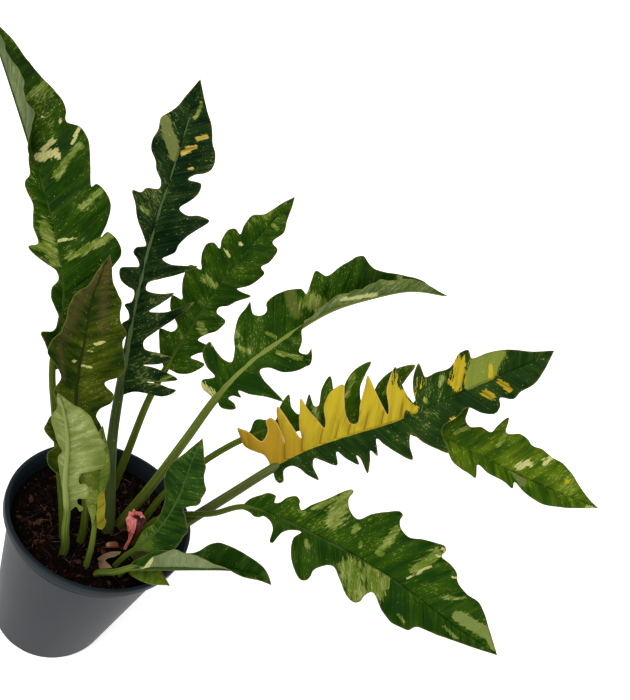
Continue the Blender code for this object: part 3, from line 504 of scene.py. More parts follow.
def tube(route, radii, sides, across, groove=0.0):
    """A closed tube along a route. The groove is the share cut from its upper side."""
    along = unit(np.gradient(route, axis=0))
    other = np.cross(along, across)
    angles = 2 * np.pi * np.arange(sides) / sides
    dip = 1 - groove * np.exp(-(((angles - np.pi / 2) / GROOVE_WIDTH) ** 2))
    points = []
    for spot, radius, x, y in zip(route, radii, across, other):
        ring = np.cos(angles)[:, None] * x + (np.sin(angles) * dip)[:, None] * y
        points.append(spot + radius * ring)
    count = len(route)
    faces = [tuple(range(sides - 1, -1, -1))]
    for ring in range(count - 1):
        for side in range(sides):
            following = (side + 1) % sides
            low = ring * sides
            faces.append((low + side, low + following, low + sides + following, low + sides + side))
    faces.append(tuple(range((count - 1) * sides, count * sides)))
    return np.vstack(points), faces


# side veins leave the midrib at a slant: this far along for each millimetre across
VEIN_SLANT = 0.62
# colours of the marbled blades, as linear red, green and blue
DEEP = (0.005, 0.024, 0.0003)
GREEN = (0.025, 0.066, 0.001)
OLIVE = (0.115, 0.145, 0.022)
LEAF_GREEN = (0.095, 0.150, 0.010)
LIME = (0.205, 0.245, 0.055)
CREAM = (0.470, 0.450, 0.170)
GOLD = (0.405, 0.305, 0.016)
GOLD_SHADE = (0.200, 0.150, 0.006)
# painted shade and painted shadow in the folds between the gold fingers
GOLD_CREASE_SHADE = (0.150, 0.095, 0.006)
GOLD_FOLD_SHADOW = (0.110, 0.050, 0.005)
GOLD_EDGE = (0.560, 0.370, 0.110)
RUSTY_EDGE = (0.085, 0.052, 0.014)
BRONZE = (0.058, 0.046, 0.014)
STALK_DARK = (0.034, 0.055, 0.003)
STALK_LIGHT = (0.105, 0.145, 0.016)
STALK_BELOW = (0.040, 0.033, 0.008)
RIB_GREEN = (0.030, 0.055, 0.006)


def blade_paint(
    name, seed, dark, light, fleck, streaks, flecks,
    soft=LIME, melt=0.15, gold=GOLD, ochre=GOLD, calm=-200.0, rough=0.34,
):
    """The paint of one face of a blade.

    Its attributes are place (s, w, distance to the edge), patch (cream, gold, lime) and
    mass (soft patch, count of side veins, dark patch). A patch is above 0 inside. Streaks and
    flecks run along the side veins, and both are sparser the higher their numbers are. A soft
    patch's border is as wide as melt, and gold is clean-edged up to calm along the midrib.
    """
    paint = Paint(name, Specular_IOR_Level=0.025)
    s, w, edge = paint.parts("place")
    cream, yellow, green = paint.parts("patch")
    mass, count, shade = paint.parts("mass")
    reach = abs(w)
    foot = s - reach * VEIN_SLANT
    side = w.math("SIGN") * 31.0 + seed * 13.7
    broad = paint.noise(paint.vector(s * 0.020, w * 0.028, seed * 5.0), 1.0, 2.0)
    bands = paint.noise(paint.vector(foot * 0.13, reach * 0.030 + side, seed * 3.1), 1.0, 3.0, 0.6)
    brush = paint.noise(paint.vector(foot * 0.34, reach * 0.085 + side, seed * 2.1), 1.0, 4.0, 0.65)
    fine = paint.noise(paint.vector(foot * 0.80, reach * 0.26 + side, seed * 1.3), 1.0, 2.0, 0.6)
    dots = paint.noise(paint.vector(s * 0.70, w * 0.70, seed * 2.3), 1.0, 1.0)
    ragged = (brush - 0.5) * 3.4 + (fine - 0.5) * 1.8
    cloud = (broad - 0.5) * 0.5 + (bands - 0.5) * 0.3
    vein = abs(count.math("FRACT") - 0.5) * 2.0
    small_vein = abs((count * 5.0).math("FRACT") - 0.5) * 2.0

    # the ground colour, with its dark and soft patches
    color = paint.mix((bands * 0.6 + broad * 0.5).step(0.40, 0.70), dark, light)
    color = paint.mix((shade + ragged * 0.3).step(-0.1, 0.5) * 0.75, color, dark)
    color = paint.mix((mass + ragged * 0.4).step(-0.03, melt) * 0.92, color, soft)
    color = paint.mix((brush + cloud * 0.8).step(streaks + 0.01, streaks + 0.05) * 0.6, color, fleck)
    color = paint.mix((fine + cloud).step(flecks + 0.01, flecks + 0.07) * 0.7, color, fleck)
    # lime and cream strokes, cream dots, pale veins and the dry edge
    marks = paint.mix(bands.step(0.43, 0.64), LEAF_GREEN, LIME)
    marks = paint.mix((fine + brush).step(1.02, 1.16) * 0.55, marks, light)
    marks = paint.mix((brush - fine * 0.3).step(0.38, 0.50) * 0.42, marks, CREAM)
    color = paint.mix((green + ragged).step(-0.10, 0.16) * 0.9, color, marks)
    color = paint.mix((dots + cloud * 0.25).step(0.745, 0.785) * 0.8, color, CREAM)
    creamy = paint.mix(fine.step(0.50, 0.64) * 0.6, CREAM, LIME)
    color = paint.mix((cream + ragged).step(-0.10, 0.14) * 0.95, color, creamy)
    color = paint.mix(vein.step(0.94, 1.0) * edge.step(1.0, 6.0) * 0.10, color, LIME)
    color = paint.mix(edge.step(2.6, 0.2) * bands.step(0.42, 0.62) * 0.55, color, RUSTY_EDGE)
    color = paint.mix(edge.step(0.9, 0.2) * 0.35, color, LIME)
    # gold, darker towards the midrib, with painted shade in the creases between the side veins and a painted
    # shadow line deep in each fold
    golden = paint.mix((s * 0.010 + bands - 0.7).step(0.0, 0.5), ochre, gold)
    golden = paint.mix(bands.step(0.44, 0.62) * reach.step(48.0, 8.0) * 0.45, golden, GOLD_SHADE)
    golden = paint.mix(vein.step(0.60, 0.10) * reach.step(30.0, 4.0) * 0.35, golden, GOLD_CREASE_SHADE)
    golden = paint.mix(vein.step(0.15, 0.03) * reach.step(22.0, 12.0) * 0.60, golden, GOLD_FOLD_SHADOW)
    golden = paint.mix(edge.step(1.7, 0.3) * 0.55, golden, GOLD_EDGE)
    rough_border = ragged * (s.step(calm, calm + 30.0) * 0.8 + 0.2)
    color = paint.mix((yellow + rough_border).step(-0.03, 0.05), color, golden)
    paint.put(Base_Color=color, Roughness=fine * 0.14 + rough)
    paint.bump(small_vein * 0.25 - vein.step(0.80, 1.0) + brush * 0.5, 0.0007)
    return paint.material


def stalk_paint(name, seed, dark=STALK_DARK, light=STALK_LIGHT, flecks=0.70, rib=RIB_GREEN):
    """Fleshy stalk and midrib: darker below, a lighter side, fine lengthwise lines and flecks."""
    paint = Paint(name, Specular_IOR_Level=0.05)
    s, angle, share = paint.parts("place")
    lines = paint.noise(paint.vector(s * 0.010, angle * 2.6, seed), 1.0, 3.0, 0.6)
    specks = paint.noise(paint.vector(s * 0.24, angle * 3.0, seed * 2.0), 1.0, 2.0)
    color = paint.mix((lines * 0.8 + share * 0.15).step(0.28, 0.62), dark, light)
    color = paint.mix(specks.step(flecks, flecks + 0.05) * 0.5, color, LIME)
    color = paint.mix(share.step(-0.05, -0.75) * 0.35, color, STALK_BELOW)
    color = paint.mix(share.step(0.0, 0.12), color, rib)
    paint.put(Base_Color=color, Roughness=lines * 0.2 + 0.34)
    paint.bump(lines, 0.0005)
    return paint.material


UNPAINTED = -2.0


def field(places, strokes):
    """1 on the nearest brush stroke's line, 0 at its border and less outside it.

    A stroke is (s, w) of its start, (s, w) of its end and its half width, and it stays on its
    own side of the midrib.
    """
    result = np.full(len(places), UNPAINTED)
    for start_s, start_w, end_s, end_w, half_width in strokes:
        start = np.array([start_s, start_w], float)
        step = np.array([end_s, end_w]) - start
        share = np.clip((places - start) @ step / max(step @ step, 1e-9), 0, 1)
        distance = np.linalg.norm(places - start - share[:, None] * step, axis=1)
        other_side = places[:, 1] * (start_w + end_w) < -0.5
        result = np.maximum(result, np.where(other_side, UNPAINTED, 1 - distance / half_width))
    return result


VEIN_SPACING = 17.0
VEIN_CLEARANCE = 11.0


def vein_count(length, sides, places):
    """Counts the side veins along the midrib. Each runs out to the tip of a lobe, at a whole number."""
    s = places[:, 0]
    w = places[:, 1]
    count = np.zeros(len(s))
    for sign, side in zip((1, -1), sides):
        spots = np.array(side, float)
        reach = np.abs(spots[:, 1])
        feet = []
        for before, peak, after, along in zip(reach, reach[1:], reach[2:], spots[1:, 0]):
            if peak > max(before, after):
                feet.append(along - VEIN_SLANT * peak)
        known = [-30.0]
        for spot in [*sorted(feet), *np.arange(0, length, VEIN_SPACING)]:
            if min(abs(spot - other) for other in known) > VEIN_CLEARANCE:
                known.append(spot)
        known.sort()
        known.append(length + 20)
        here = (w * sign) >= 0
        count[here] = np.interp(s[here] - VEIN_SLANT * np.abs(w[here]), known, np.arange(len(known)))
    return count


def blunt_tips(side, width):
    """The side's points, with each lobe's tip drawn out to two points, each width from the old one."""
    spots = np.array(side, float)
    result = [spots[0]]
    for before, tip, after in zip(spots, spots[1:], spots[2:]):
        if width and abs(tip[1]) > max(abs(before[1]), abs(after[1])):
            result += [tip + (other - tip) / np.linalg.norm(other - tip) * width for other in (before, after)]
        else:
            result.append(tip)
    return [*result, spots[-1]]


PUFF_OVER = 9.0
CUP_FROM = 6.0
CUP_OVER = 24.0
EDGE_BAND = 4.0
CURL_OVER = 7.0
CURL_BAND = 10.0
CURL_DROP = 0.7
RUFFLE_HEIGHT = 2.2
DENT_HEIGHT = 0.5


def quilt(places, edge, count, seed, puff, cup):
    """How far each place of a blade lies off its plain surface."""
    reach = np.abs(places[:, 1])
    spots = np.column_stack([places, np.full(len(places), seed * 10.0)])
    between = 0.5 - 0.5 * np.cos(2 * np.pi * count)
    puffed = puff * between * np.clip(reach / PUFF_OVER, 0, 1) * np.clip(edge / EDGE_BAND, 0, 1)
    cupped = cup * (between - 0.5) * np.clip((reach - CUP_FROM) / CUP_OVER, 0, 1)
    curl = np.exp(-edge / CURL_OVER) * np.clip(reach / CURL_BAND, 0, 1)
    ruffled = curl * (RUFFLE_HEIGHT * wobble(spots, scale=0.045, seed=seed) - CURL_DROP)
    dents = DENT_HEIGHT * wobble(spots, scale=0.09, seed=seed + 2)
    return puffed + cupped + ruffled + dents


STALK_STEP = 4.0
STALK_SIDES = 18
GROOVE = 0.16
RIB_TIP = 0.9
RIB_END = 0.97
RIB_TAPER = 1.2
RIB_SINKS_OVER = 12.0


def stalk_tube(leaf, radii, sunk, seed):
    """Points, faces and paint places of the stalk, which runs on as the sunken midrib."""
    foot, neck = radii
    end = leaf.length * RIB_END
    run = np.linspace(-leaf.base, end, int((leaf.base + end) / STALK_STEP) + 1)
    share = np.clip(run / leaf.length, 0, 1)
    climb = np.clip((run + leaf.base) / leaf.base, 0, 1)
    radius = foot + (neck - foot) * climb
    radius = np.where(run > 0, RIB_TIP + (neck - RIB_TIP) * (1 - share) ** RIB_TAPER, radius)
    across, up = leaf.directions(run)
    drop = sunk * radius * np.clip(run / RIB_SINKS_OVER, 0, 1)
    route = leaf.read(leaf.centre, run) - up * drop[:, None]
    points, faces = tube(route, radius, STALK_SIDES, across, groove=GROOVE)
    angle = np.tile(2 * np.pi * np.arange(STALK_SIDES) / STALK_SIDES, len(run))
    around = np.abs(np.cos(angle / 2 + seed)) * 3
    paint_places = [np.repeat(run, STALK_SIDES), around, np.repeat(run / leaf.length, STALK_SIDES)]
    return points, faces, np.column_stack(paint_places)


EDGE_STEP = 1.7
BLADE_GRID = 2.2
EDGE_THICKNESS = 0.32
MORE_INSIDE = 0.40


def grow(
    name, seed, left, right, radii, top, under, stalk=None,
    cream=(), gold=(), lime=(), soft=(), dark=(), puff=0.60, cup=1.4, sunk=0.60, blunt=0.0, **form,
):
    """Makes one leaf: its blade sheet and its stalk in one piece, with their paints.

    Left and right are the blade's sides as (s, w), and radii those of the stalk's foot and neck.
    Cream to dark are brush strokes. Puff lifts the blade between its side veins, and cup its outer
    part. Sunk is how deep the midrib lies, in radii, and blunt widens the lobes' tips.
    """
    leaf = Leaf(**form)
    materials = [
        blade_paint(name + "_top", seed, **top),
        blade_paint(name + "_under", seed, **under),
        stalk_paint(name + "_stalk", seed, **(stalk or {})),
    ]
    outline = edge_line(blunt_tips(left, blunt), blunt_tips(right, blunt), leaf.length, EDGE_STEP)
    places, faces = split_blade(outline, leaf.length, BLADE_GRID)
    edge = np.maximum(inside_distance(places, outline), 0.0)
    count = vein_count(leaf.length, (left, right), places)
    lift = quilt(places, edge, count, seed, puff, cup)
    surface = leaf.surface(places[:, 0], places[:, 1], lift)
    thickness = EDGE_THICKNESS + MORE_INSIDE * np.clip(edge / EDGE_BAND, 0, 1)
    points, solid, slots = sheet(surface, faces, thickness)
    blade_place = np.column_stack([places, edge])
    patch = np.column_stack([field(places, strokes) for strokes in (cream, gold, lime)])
    mass = np.column_stack([field(places, soft), count, field(places, dark)])

    ring, ring_faces, ring_place = stalk_tube(leaf, radii, sunk, seed)
    solid += [tuple(corner + len(points) for corner in face) for face in ring_faces]
    slots += [2] * len(ring_faces)
    attributes = {
        "place": np.vstack([blade_place, blade_place, ring_place]),
        "patch": np.vstack([patch, patch, np.full(ring.shape, -1.0)]),
        "mass": np.vstack([mass, mass, np.zeros(ring.shape)]),
    }
    points = np.vstack([points, ring]) * MM
    piece = finish_mesh(name + "_dressed", points, solid, materials, slots, attributes)
    place(piece, [name], name)


# The tall leaf at the far left: deep green, streaked and flecked with cream and lime.
# Near its tip the left half folds up over the midrib and shows its dull grey-green underside.
grow(
    "leaf_01", seed=1, root=(-10, -48), heading=160, blade_at=4, roll=(-30, -30), radii=(4.2, 3.4), cup=1.0,
    line=(
        (0, 150), (14, 179), (44, 226), (83, 281), (110, 322), (119, 355), (128, 393), (148, 422),
        (172, 448), (214, 481), (268, 519), (319, 553), (352, 574),
    ),
    fold_left=((0, 15), (190, 15), (215, 75), (250, 105), (400, 105)),
    left=(
        (0, 3), (12, 3), (28, 10), (42, 17), (44, 6), (58, 3), (70, 8), (80, 12), (90, 11), (98, 4),
        (106, 5), (114, 14), (122, 22), (132, 27), (134, 18), (150, 20), (172, 14), (186, 17), (194, 17),
        (200, 12), (215, 18), (235, 28), (258, 30), (285, 27), (312, 20), (338, 11),
    ),
    right=(
        (0, -4), (14, -20), (30, -30), (45, -26), (60, -38), (78, -42), (88, -36), (104, -46), (118, -58),
        (130, -56), (138, -48), (134, -41), (146, -50), (160, -57), (174, -55), (183, -49), (181, -44),
        (198, -48), (213, -52), (228, -54), (240, -50), (247, -39), (256, -42), (268, -42), (280, -38),
        (296, -29), (316, -22), (336, -16), (352, -8),
    ),
    top=dict(dark=DEEP, light=(0.022, 0.058, 0.001), fleck=(0.15, 0.19, 0.04), streaks=0.64, flecks=0.635),
    under=dict(
        dark=(0.055, 0.085, 0.022), light=(0.115, 0.15, 0.05), fleck=(0.20, 0.24, 0.09), streaks=0.60,
        flecks=0.63,
    ),
    cream=(
        (218, -4, 218, -20, 4.5), (225, -10, 232, -22, 2.5), (246, -33, 249, -34, 1.5),
        (255, -18, 255, -20, 1), (135, -2, 136, -8, 1.5), (135, -10, 136, -18, 1),
        (240, -50, 225, -38, 1.5),
    ),
    lime=(
        (196, -15, 222, -44, 3.5), (256, 32, 288, -33, 3.5), (162, -30, 174, -51, 3.5),
        (118, -8, 134, -50, 3.5), (150, 9, 116, 6, 6.5), (132, 21, 128, 9, 4),
    ),
)

# The bronze young leaf in front of it: bronze along its upper left edge and olive green
# elsewhere, strongly quilted between the side veins, with a dark midrib.
grow(
    "leaf_02", seed=2, root=(2, -38), heading=160, blade_at=3, roll=(-28, -38), radii=(4.4, 3.4), puff=0.9,
    sunk=0.4,
    line=(
        (0, 150), (7, 188), (26, 225), (47, 250), (70, 278), (92, 318), (108, 378), (117, 412), (119, 440),
        (119, 464),
    ),
    left=(
        (0, 3), (-7, 12), (-8, 24), (6, 34), (16, 33), (22, 22), (30, 27), (42, 33), (52, 28), (60, 20),
        (78, 22), (92, 17), (106, 24), (118, 33), (132, 32), (142, 27), (156, 22), (172, 20), (186, 16),
        (192, 9), (210, 5), (222, 2),
    ),
    right=(
        (0, -3), (10, -20), (24, -26), (36, -24), (47, -20), (56, -24), (64, -35), (74, -37), (86, -27),
        (98, -40), (112, -44), (126, -40), (140, -36), (150, -38), (163, -30), (172, -28), (184, -27),
        (197, -19), (206, -12), (220, -6),
    ),
    top=dict(
        dark=(0.005, 0.020, 0.001), light=(0.050, 0.066, 0.002), fleck=(0.12, 0.15, 0.02), streaks=0.66,
        flecks=0.635, soft=BRONZE, melt=1.3,
    ),
    under=dict(
        dark=(0.04, 0.05, 0.015), light=(0.08, 0.09, 0.035), fleck=OLIVE, streaks=0.64, flecks=0.64,
        soft=BRONZE,
    ),
    stalk=dict(rib=(0.012, 0.022, 0.002)),
    cream=(
        (106, -2, 106, -12, 1.5), (111, 8, 110, 6, 1.5), (132, -10, 136, -18, 1.5), (124, -4, 124, -9, 1),
    ),
    soft=((138, 22, 224, -3, 10.5), (129, 24, 90, 14, 4.5), (150, -16, 222, -2, 9)),
)

# The small leaf in front, which turns its pale silvery green underside to the camera,
# with fine ripples across it.
grow(
    "leaf_03", seed=3, root=(-6, -60), heading=235, blade_at=3, roll=(50, 50), radii=(4.8, 3.2), puff=0.8,
    line=((0, 150), (0, 170), (12, 208), (20, 239), (38, 288), (54, 343), (74, 388), (83, 402)),
    left=(
        (0, 3), (8, 8), (0, 12), (4, 15), (14, 10), (24, 11), (25, 18), (38, 21), (47, 17), (46, 13),
        (58, 12), (65, 14), (69, 21), (77, 31), (85, 34), (93, 33), (99, 30), (107, 31), (116, 29),
        (136, 22), (151, 14), (163, 7),
    ),
    right=(
        (0, -2), (20, -3), (40, -4), (55, -5), (70, -8), (84, -8), (92, -5), (100, -9), (113, -12),
        (130, -13), (142, -11), (152, -6), (164, -4),
    ),
    top=dict(dark=GREEN, light=(0.12, 0.18, 0.03), fleck=LIME, streaks=0.62, flecks=0.62),
    under=dict(
        dark=(0.095, 0.130, 0.022), light=(0.210, 0.250, 0.068), fleck=(0.32, 0.35, 0.16), streaks=0.59,
        flecks=0.62, rough=0.5,
    ),
    stalk=dict(dark=(0.06, 0.10, 0.01), light=(0.15, 0.20, 0.035), rib=(0.19, 0.23, 0.06)),
)

# The small yellow and green leaf close to the middle, half rolled up, with a bright patch low on it.
grow(
    "leaf_05", seed=4, root=(25, -60), heading=175, blade_at=3, roll=(-22, -28, -33), radii=(3.6, 2.6),
    line=((0, 150), (2, 162), (8, 197), (14, 218), (25, 253), (38, 293), (54, 336)),
    left=((0, 2), (18, 6), (41, 14), (55, 18), (74, 18), (92, 14), (111, 7)),
    right=((0, -3), (-6, -10), (0, -14), (12, -10), (30, -9), (46, -7), (65, -10), (83, -9), (103, -5)),
    top=dict(
        dark=(0.05, 0.085, 0.005), light=(0.14, 0.18, 0.02), fleck=LIME, streaks=0.58, flecks=0.60,
        gold=(0.28, 0.27, 0.015), ochre=(0.24, 0.25, 0.015),
    ),
    under=dict(dark=(0.08, 0.11, 0.02), light=(0.17, 0.21, 0.05), fleck=LIME, streaks=0.60, flecks=0.62),
    stalk=dict(dark=(0.07, 0.11, 0.01), light=(0.16, 0.21, 0.035)),
    gold=((2, -8, 38, -6, 9),),
)

# The very dark leaf with finger lobes: bluish green, finely flecked, on a stout grey-green stalk.
# It has a grey-green patch and yellow ones near its tip, and yellow-green stripes on low fingers.
grow(
    "leaf_06", seed=5, root=(18, -8), heading=140, blade_at=4, roll=(-24, -24), radii=(7.2, 5.4), cup=2.6,
    sunk=0.62,
    line=(
        (0, 150), (5, 172), (42, 209), (72, 243), (99, 289), (122, 338), (143, 378), (166, 435), (179, 480),
        (187, 522), (198, 573), (212, 623),
    ),
    left=(
        (0, 3), (20, 4), (40, 6), (50, 12), (54, 5), (70, 5), (82, 11), (88, 5), (96, 7), (103, 12),
        (108, 5), (120, 5), (124, 14), (130, 22), (142, 25), (146, 14), (148, 6), (154, 8), (162, 15),
        (168, 13), (172, 4), (180, 8), (197, 20), (213, 27), (225, 33), (226, 25), (232, 21), (236, 8),
        (244, 9), (254, 17), (262, 20), (272, 28), (282, 30), (294, 28), (306, 27), (318, 17), (336, 9),
    ),
    right=(
        (0, -4), (6, -16), (7, -34), (7, -48), (12, -57), (19, -62), (20, -52), (22, -40), (22, -28),
        (25, -46), (31, -61), (36, -50), (38, -36), (39, -20), (43, -36), (53, -50), (56, -36), (58, -18),
        (66, -16), (78, -26), (95, -42), (110, -54), (124, -62), (112, -45), (104, -33), (101, -16),
        (112, -26), (128, -38), (124, -24), (124, -8), (132, -8), (140, -20), (148, -34), (158, -47),
        (167, -56), (163, -42), (160, -26), (163, -17), (168, -22), (174, -28), (184, -30), (198, -37),
        (208, -44), (222, -53), (224, -42), (219, -28), (223, -19), (234, -26), (240, -30), (248, -33),
        (257, -32), (256, -18), (262, -22), (268, -32), (274, -37), (288, -37), (300, -30), (315, -24),
        (328, -15),
    ),
    top=dict(
        dark=(0.001, 0.010, 0.002), light=(0.013, 0.034, 0.006), fleck=(0.13, 0.17, 0.04), streaks=0.69,
        flecks=0.625, soft=(0.145, 0.165, 0.045), gold=(0.50, 0.36, 0.075), ochre=(0.50, 0.36, 0.075),
    ),
    under=dict(dark=(0.02, 0.04, 0.015), light=(0.04, 0.07, 0.02), fleck=OLIVE, streaks=0.66, flecks=0.64),
    stalk=dict(
        dark=(0.024, 0.042, 0.006), light=(0.075, 0.105, 0.028), flecks=0.66, rib=(0.062, 0.098, 0.030),
    ),
    gold=(
        (298, -14, 304, -22, 2.5), (279, -4, 286, -9, 2.5), (285, -8, 290, -15, 2),
        (266, -15, 268, -18, 1.5),
    ),
    lime=(
        (315, -6, 332, -8, 2), (56, -28, 57, -42, 3.5), (210, 18, 208, 12, 2.5), (22, -32, 27, -58, 3),
        (132, -9, 136, -15, 2), (28, -44, 40, -60, 2.5),
    ),
    soft=((304, 24, 274, 2, 7),),
)

# The green leaf behind it, flecked all over, with yellow-green stripes on its low lobes.
grow(
    "leaf_07", seed=6, root=(-7, 48), heading=90, blade_at=4, roll=(9, 5, 7), radii=(5.2, 3.8),
    line=(
        (0, 150, 0), (6, 160, 5), (19, 218, 14), (31, 287, 23), (41, 332, 24), (54, 367, 24), (68, 411, 23),
        (79, 438, 22), (92, 468, 18), (107, 501, 14), (121, 527, 9), (136, 558, 4),
    ),
    left=(
        (0, 4), (8, 12), (22, 22), (36, 29), (40, 16), (48, 14), (63, 32), (76, 37), (78, 26), (86, 31),
        (99, 38), (113, 40), (116, 27), (122, 32), (131, 38), (142, 40), (148, 35), (147, 26), (156, 30),
        (169, 31), (175, 26), (174, 18), (183, 21), (197, 22), (208, 13), (217, 10), (232, 6),
    ),
    right=(
        (0, -4), (2, -16), (12, -29), (28, -36), (28, -28), (26, -18), (34, -22), (42, -30), (49, -36),
        (49, -26), (48, -14), (59, -19), (71, -28), (84, -29), (87, -15), (93, -14), (101, -22), (110, -27),
        (128, -36), (125, -26), (124, -19), (133, -25), (145, -30), (157, -32), (160, -25), (169, -28),
        (179, -28), (189, -25), (191, -16), (208, -18), (221, -11), (239, -4),
    ),
    top=dict(
        dark=(0.007, 0.030, 0.001), light=(0.028, 0.070, 0.001), fleck=(0.15, 0.19, 0.04), streaks=0.65,
        flecks=0.62,
    ),
    under=dict(dark=(0.03, 0.06, 0.015), light=(0.075, 0.11, 0.035), fleck=LIME, streaks=0.64, flecks=0.64),
    stalk=dict(dark=(0.050, 0.080, 0.004), light=(0.120, 0.175, 0.014)),
    cream=((166, 12, 166, 9, 2), (150, 22, 147, 12, 1.5)),
    lime=(
        (111, 18, 111, 2, 4), (64, -8, 60, -15, 5), (207, 9, 218, 10, 3), (206, -4, 206, -9, 2.5),
        (195, 18, 196, 14, 2.5),
    ),
)

# The leaf that folds over at its middle: flecked green with a cream lobe low on its left.
# Beyond the fold it shows its olive underside, with a cream lower edge and a grey tip.
grow(
    "leaf_08", seed=7, root=(22, 12), heading=50, blade_at=4, roll=(41, 42, 39), radii=(6.2, 4.4), cup=1.8,
    sunk=0.5,
    line=(
        (0, 150), (-2, 161), (12, 229), (24, 313), (31, 368), (45, 415), (61, 441), (87, 475), (114, 501),
        (162, 525), (212, 542), (283, 545),
    ),
    fold_right=((0, 12), (105, 12), (125, 110), (290, 125)),
    left=(
        (0, 4), (3, 19), (10, 24), (20, 16), (23, 29), (31, 42), (43, 45), (41, 33), (40, 21), (43, 14),
        (53, 21), (61, 33), (74, 45), (86, 49), (92, 52), (88, 39), (94, 34), (100, 35), (104, 42),
        (115, 43), (129, 40), (139, 35), (141, 28), (150, 38), (157, 45), (164, 36), (170, 36), (184, 43),
        (199, 47), (211, 45), (217, 34), (228, 26), (253, 19), (277, 14), (303, 7),
    ),
    right=(
        (0, -3), (-3, -10), (1, -18), (8, -23), (12, -19), (11, -10), (17, -12), (23, -20), (26, -13),
        (33, -25), (43, -37), (58, -53), (57, -35), (56, -21), (59, -13), (68, -16), (78, -29), (92, -36),
        (102, -38), (114, -41), (108, -29), (105, -20), (113, -18), (119, -11), (125, -17), (139, -21),
        (156, -27), (184, -29), (215, -27), (246, -21), (277, -13), (305, -6),
    ),
    top=dict(
        dark=(0.006, 0.028, 0.001), light=(0.023, 0.062, 0.001), fleck=(0.15, 0.19, 0.045), streaks=0.66,
        flecks=0.625, soft=(0.075, 0.095, 0.014), melt=0.5,
    ),
    under=dict(
        dark=(0.030, 0.062, 0.006), light=(0.085, 0.130, 0.018), fleck=(0.26, 0.28, 0.10), streaks=0.60,
        flecks=0.61, soft=(0.10, 0.11, 0.045),
    ),
    stalk=dict(dark=(0.056, 0.082, 0.008), light=(0.155, 0.200, 0.030), rib=(0.15, 0.19, 0.037)),
    cream=((4, 20, 0, 4, 6), (45, 44, 44, 40, 2), (168, -15, 213, -3, 3.5)),
    lime=(
        (63, 38, 63, 32, 3), (58, 22, 62, 10, 2.5), (88, 15, 93, 6, 2), (86, -9, 102, -28, 2.5),
        (140, 21, 164, -12, 9), (220, -14, 252, 18, 4),
    ),
    soft=((128, 38, 124, 15, 7.5),),
)

# The leaf that the plant is named for: golden fingers along half of its left side, dark green
# ones on its right, then dark blue-green with a bright yellow lobe and a pale lime sector.
grow(
    "leaf_09", seed=8, root=(45, -20), heading=27, blade_at=4, roll=(42, 41, 45), radii=(6.6, 4.8),
    sunk=0.86,
    line=(
        (9, 150, 0), (24, 189, 0), (47, 237, 0), (75, 296, -1), (94, 347, -7), (110, 389, -16),
        (136, 425, -22), (164, 455, -25), (177, 472, -27), (203, 507, -27), (228, 541, -27),
        (254, 574, -27), (269, 598, -27),
    ),
    left=(
        (0, 3), (1, 17), (-6, 24), (-13, 32), (-14, 41), (-9, 55), (-1, 49), (4, 40), (9, 30), (19, 36),
        (23, 46), (28, 46), (31, 38), (29, 17), (34, 42), (40, 53), (43, 44), (44, 30), (47, 14), (51, 27),
        (56, 40), (61, 51), (64, 36), (68, 24), (72, 15), (75, 21), (78, 34), (89, 47), (103, 51),
        (100, 36), (97, 21), (99, 11), (105, 10), (113, 27), (122, 41), (130, 52), (133, 34), (135, 18),
        (137, 9), (141, 18), (145, 32), (154, 43), (164, 50), (163, 36), (163, 21), (167, 8), (171, 23),
        (178, 36), (187, 44), (187, 34), (187, 29), (198, 29), (211, 27), (218, 30), (226, 36), (235, 36),
        (235, 27), (248, 26), (263, 23), (276, 18), (291, 9),
    ),
    right=(
        (0, -3), (-2, -11), (1, -17), (8, -18), (13, -8), (24, -8), (31, -13), (39, -24), (49, -32),
        (48, -18), (52, -11), (60, -16), (74, -25), (77, -12), (84, -21), (95, -30), (95, -21), (98, -25),
        (101, -41), (107, -31), (110, -21), (115, -28), (119, -11), (124, -18), (134, -30), (145, -41),
        (147, -27), (152, -17), (159, -30), (167, -40), (176, -48), (177, -34), (181, -23), (198, -20),
        (211, -16), (221, -26), (233, -31), (240, -27), (243, -20), (254, -26), (264, -22), (278, -20),
        (291, -13),
    ),
    top=dict(
        dark=(0.005, 0.020, 0.002), light=(0.016, 0.043, 0.004), fleck=(0.14, 0.17, 0.035), streaks=0.69,
        flecks=0.655, soft=(0.165, 0.205, 0.028), ochre=(0.310, 0.185, 0.012), calm=148.0,
    ),
    under=dict(dark=(0.02, 0.045, 0.01), light=(0.06, 0.09, 0.025), fleck=OLIVE, streaks=0.64, flecks=0.64),
    stalk=dict(dark=(0.045, 0.062, 0.010), light=(0.130, 0.155, 0.045), rib=(0.028, 0.044, 0.005)),
    gold=(
        (222, 27, 213, 10, 6.5), (207, 14, 210, 6, 3), (248, 12, 244, 3, 3), (250, -6, 254, -16, 3),
        (232, -9, 237, -16, 3), (192, -22, 198, -22, 3), (158, 15, 164, 3, 4), (-10, 36, 115, 36, 44),
        (-5, 8, 139, 8, 14), (-5, 20, 143, 20, 20),
    ),
    lime=((196, 16, 202, 21, 2.5), (178, 9, 177, 6, 2)),
    soft=((224, 4, 243, 28, 7.5), (236, 3, 258, 21, 9.5)),
)

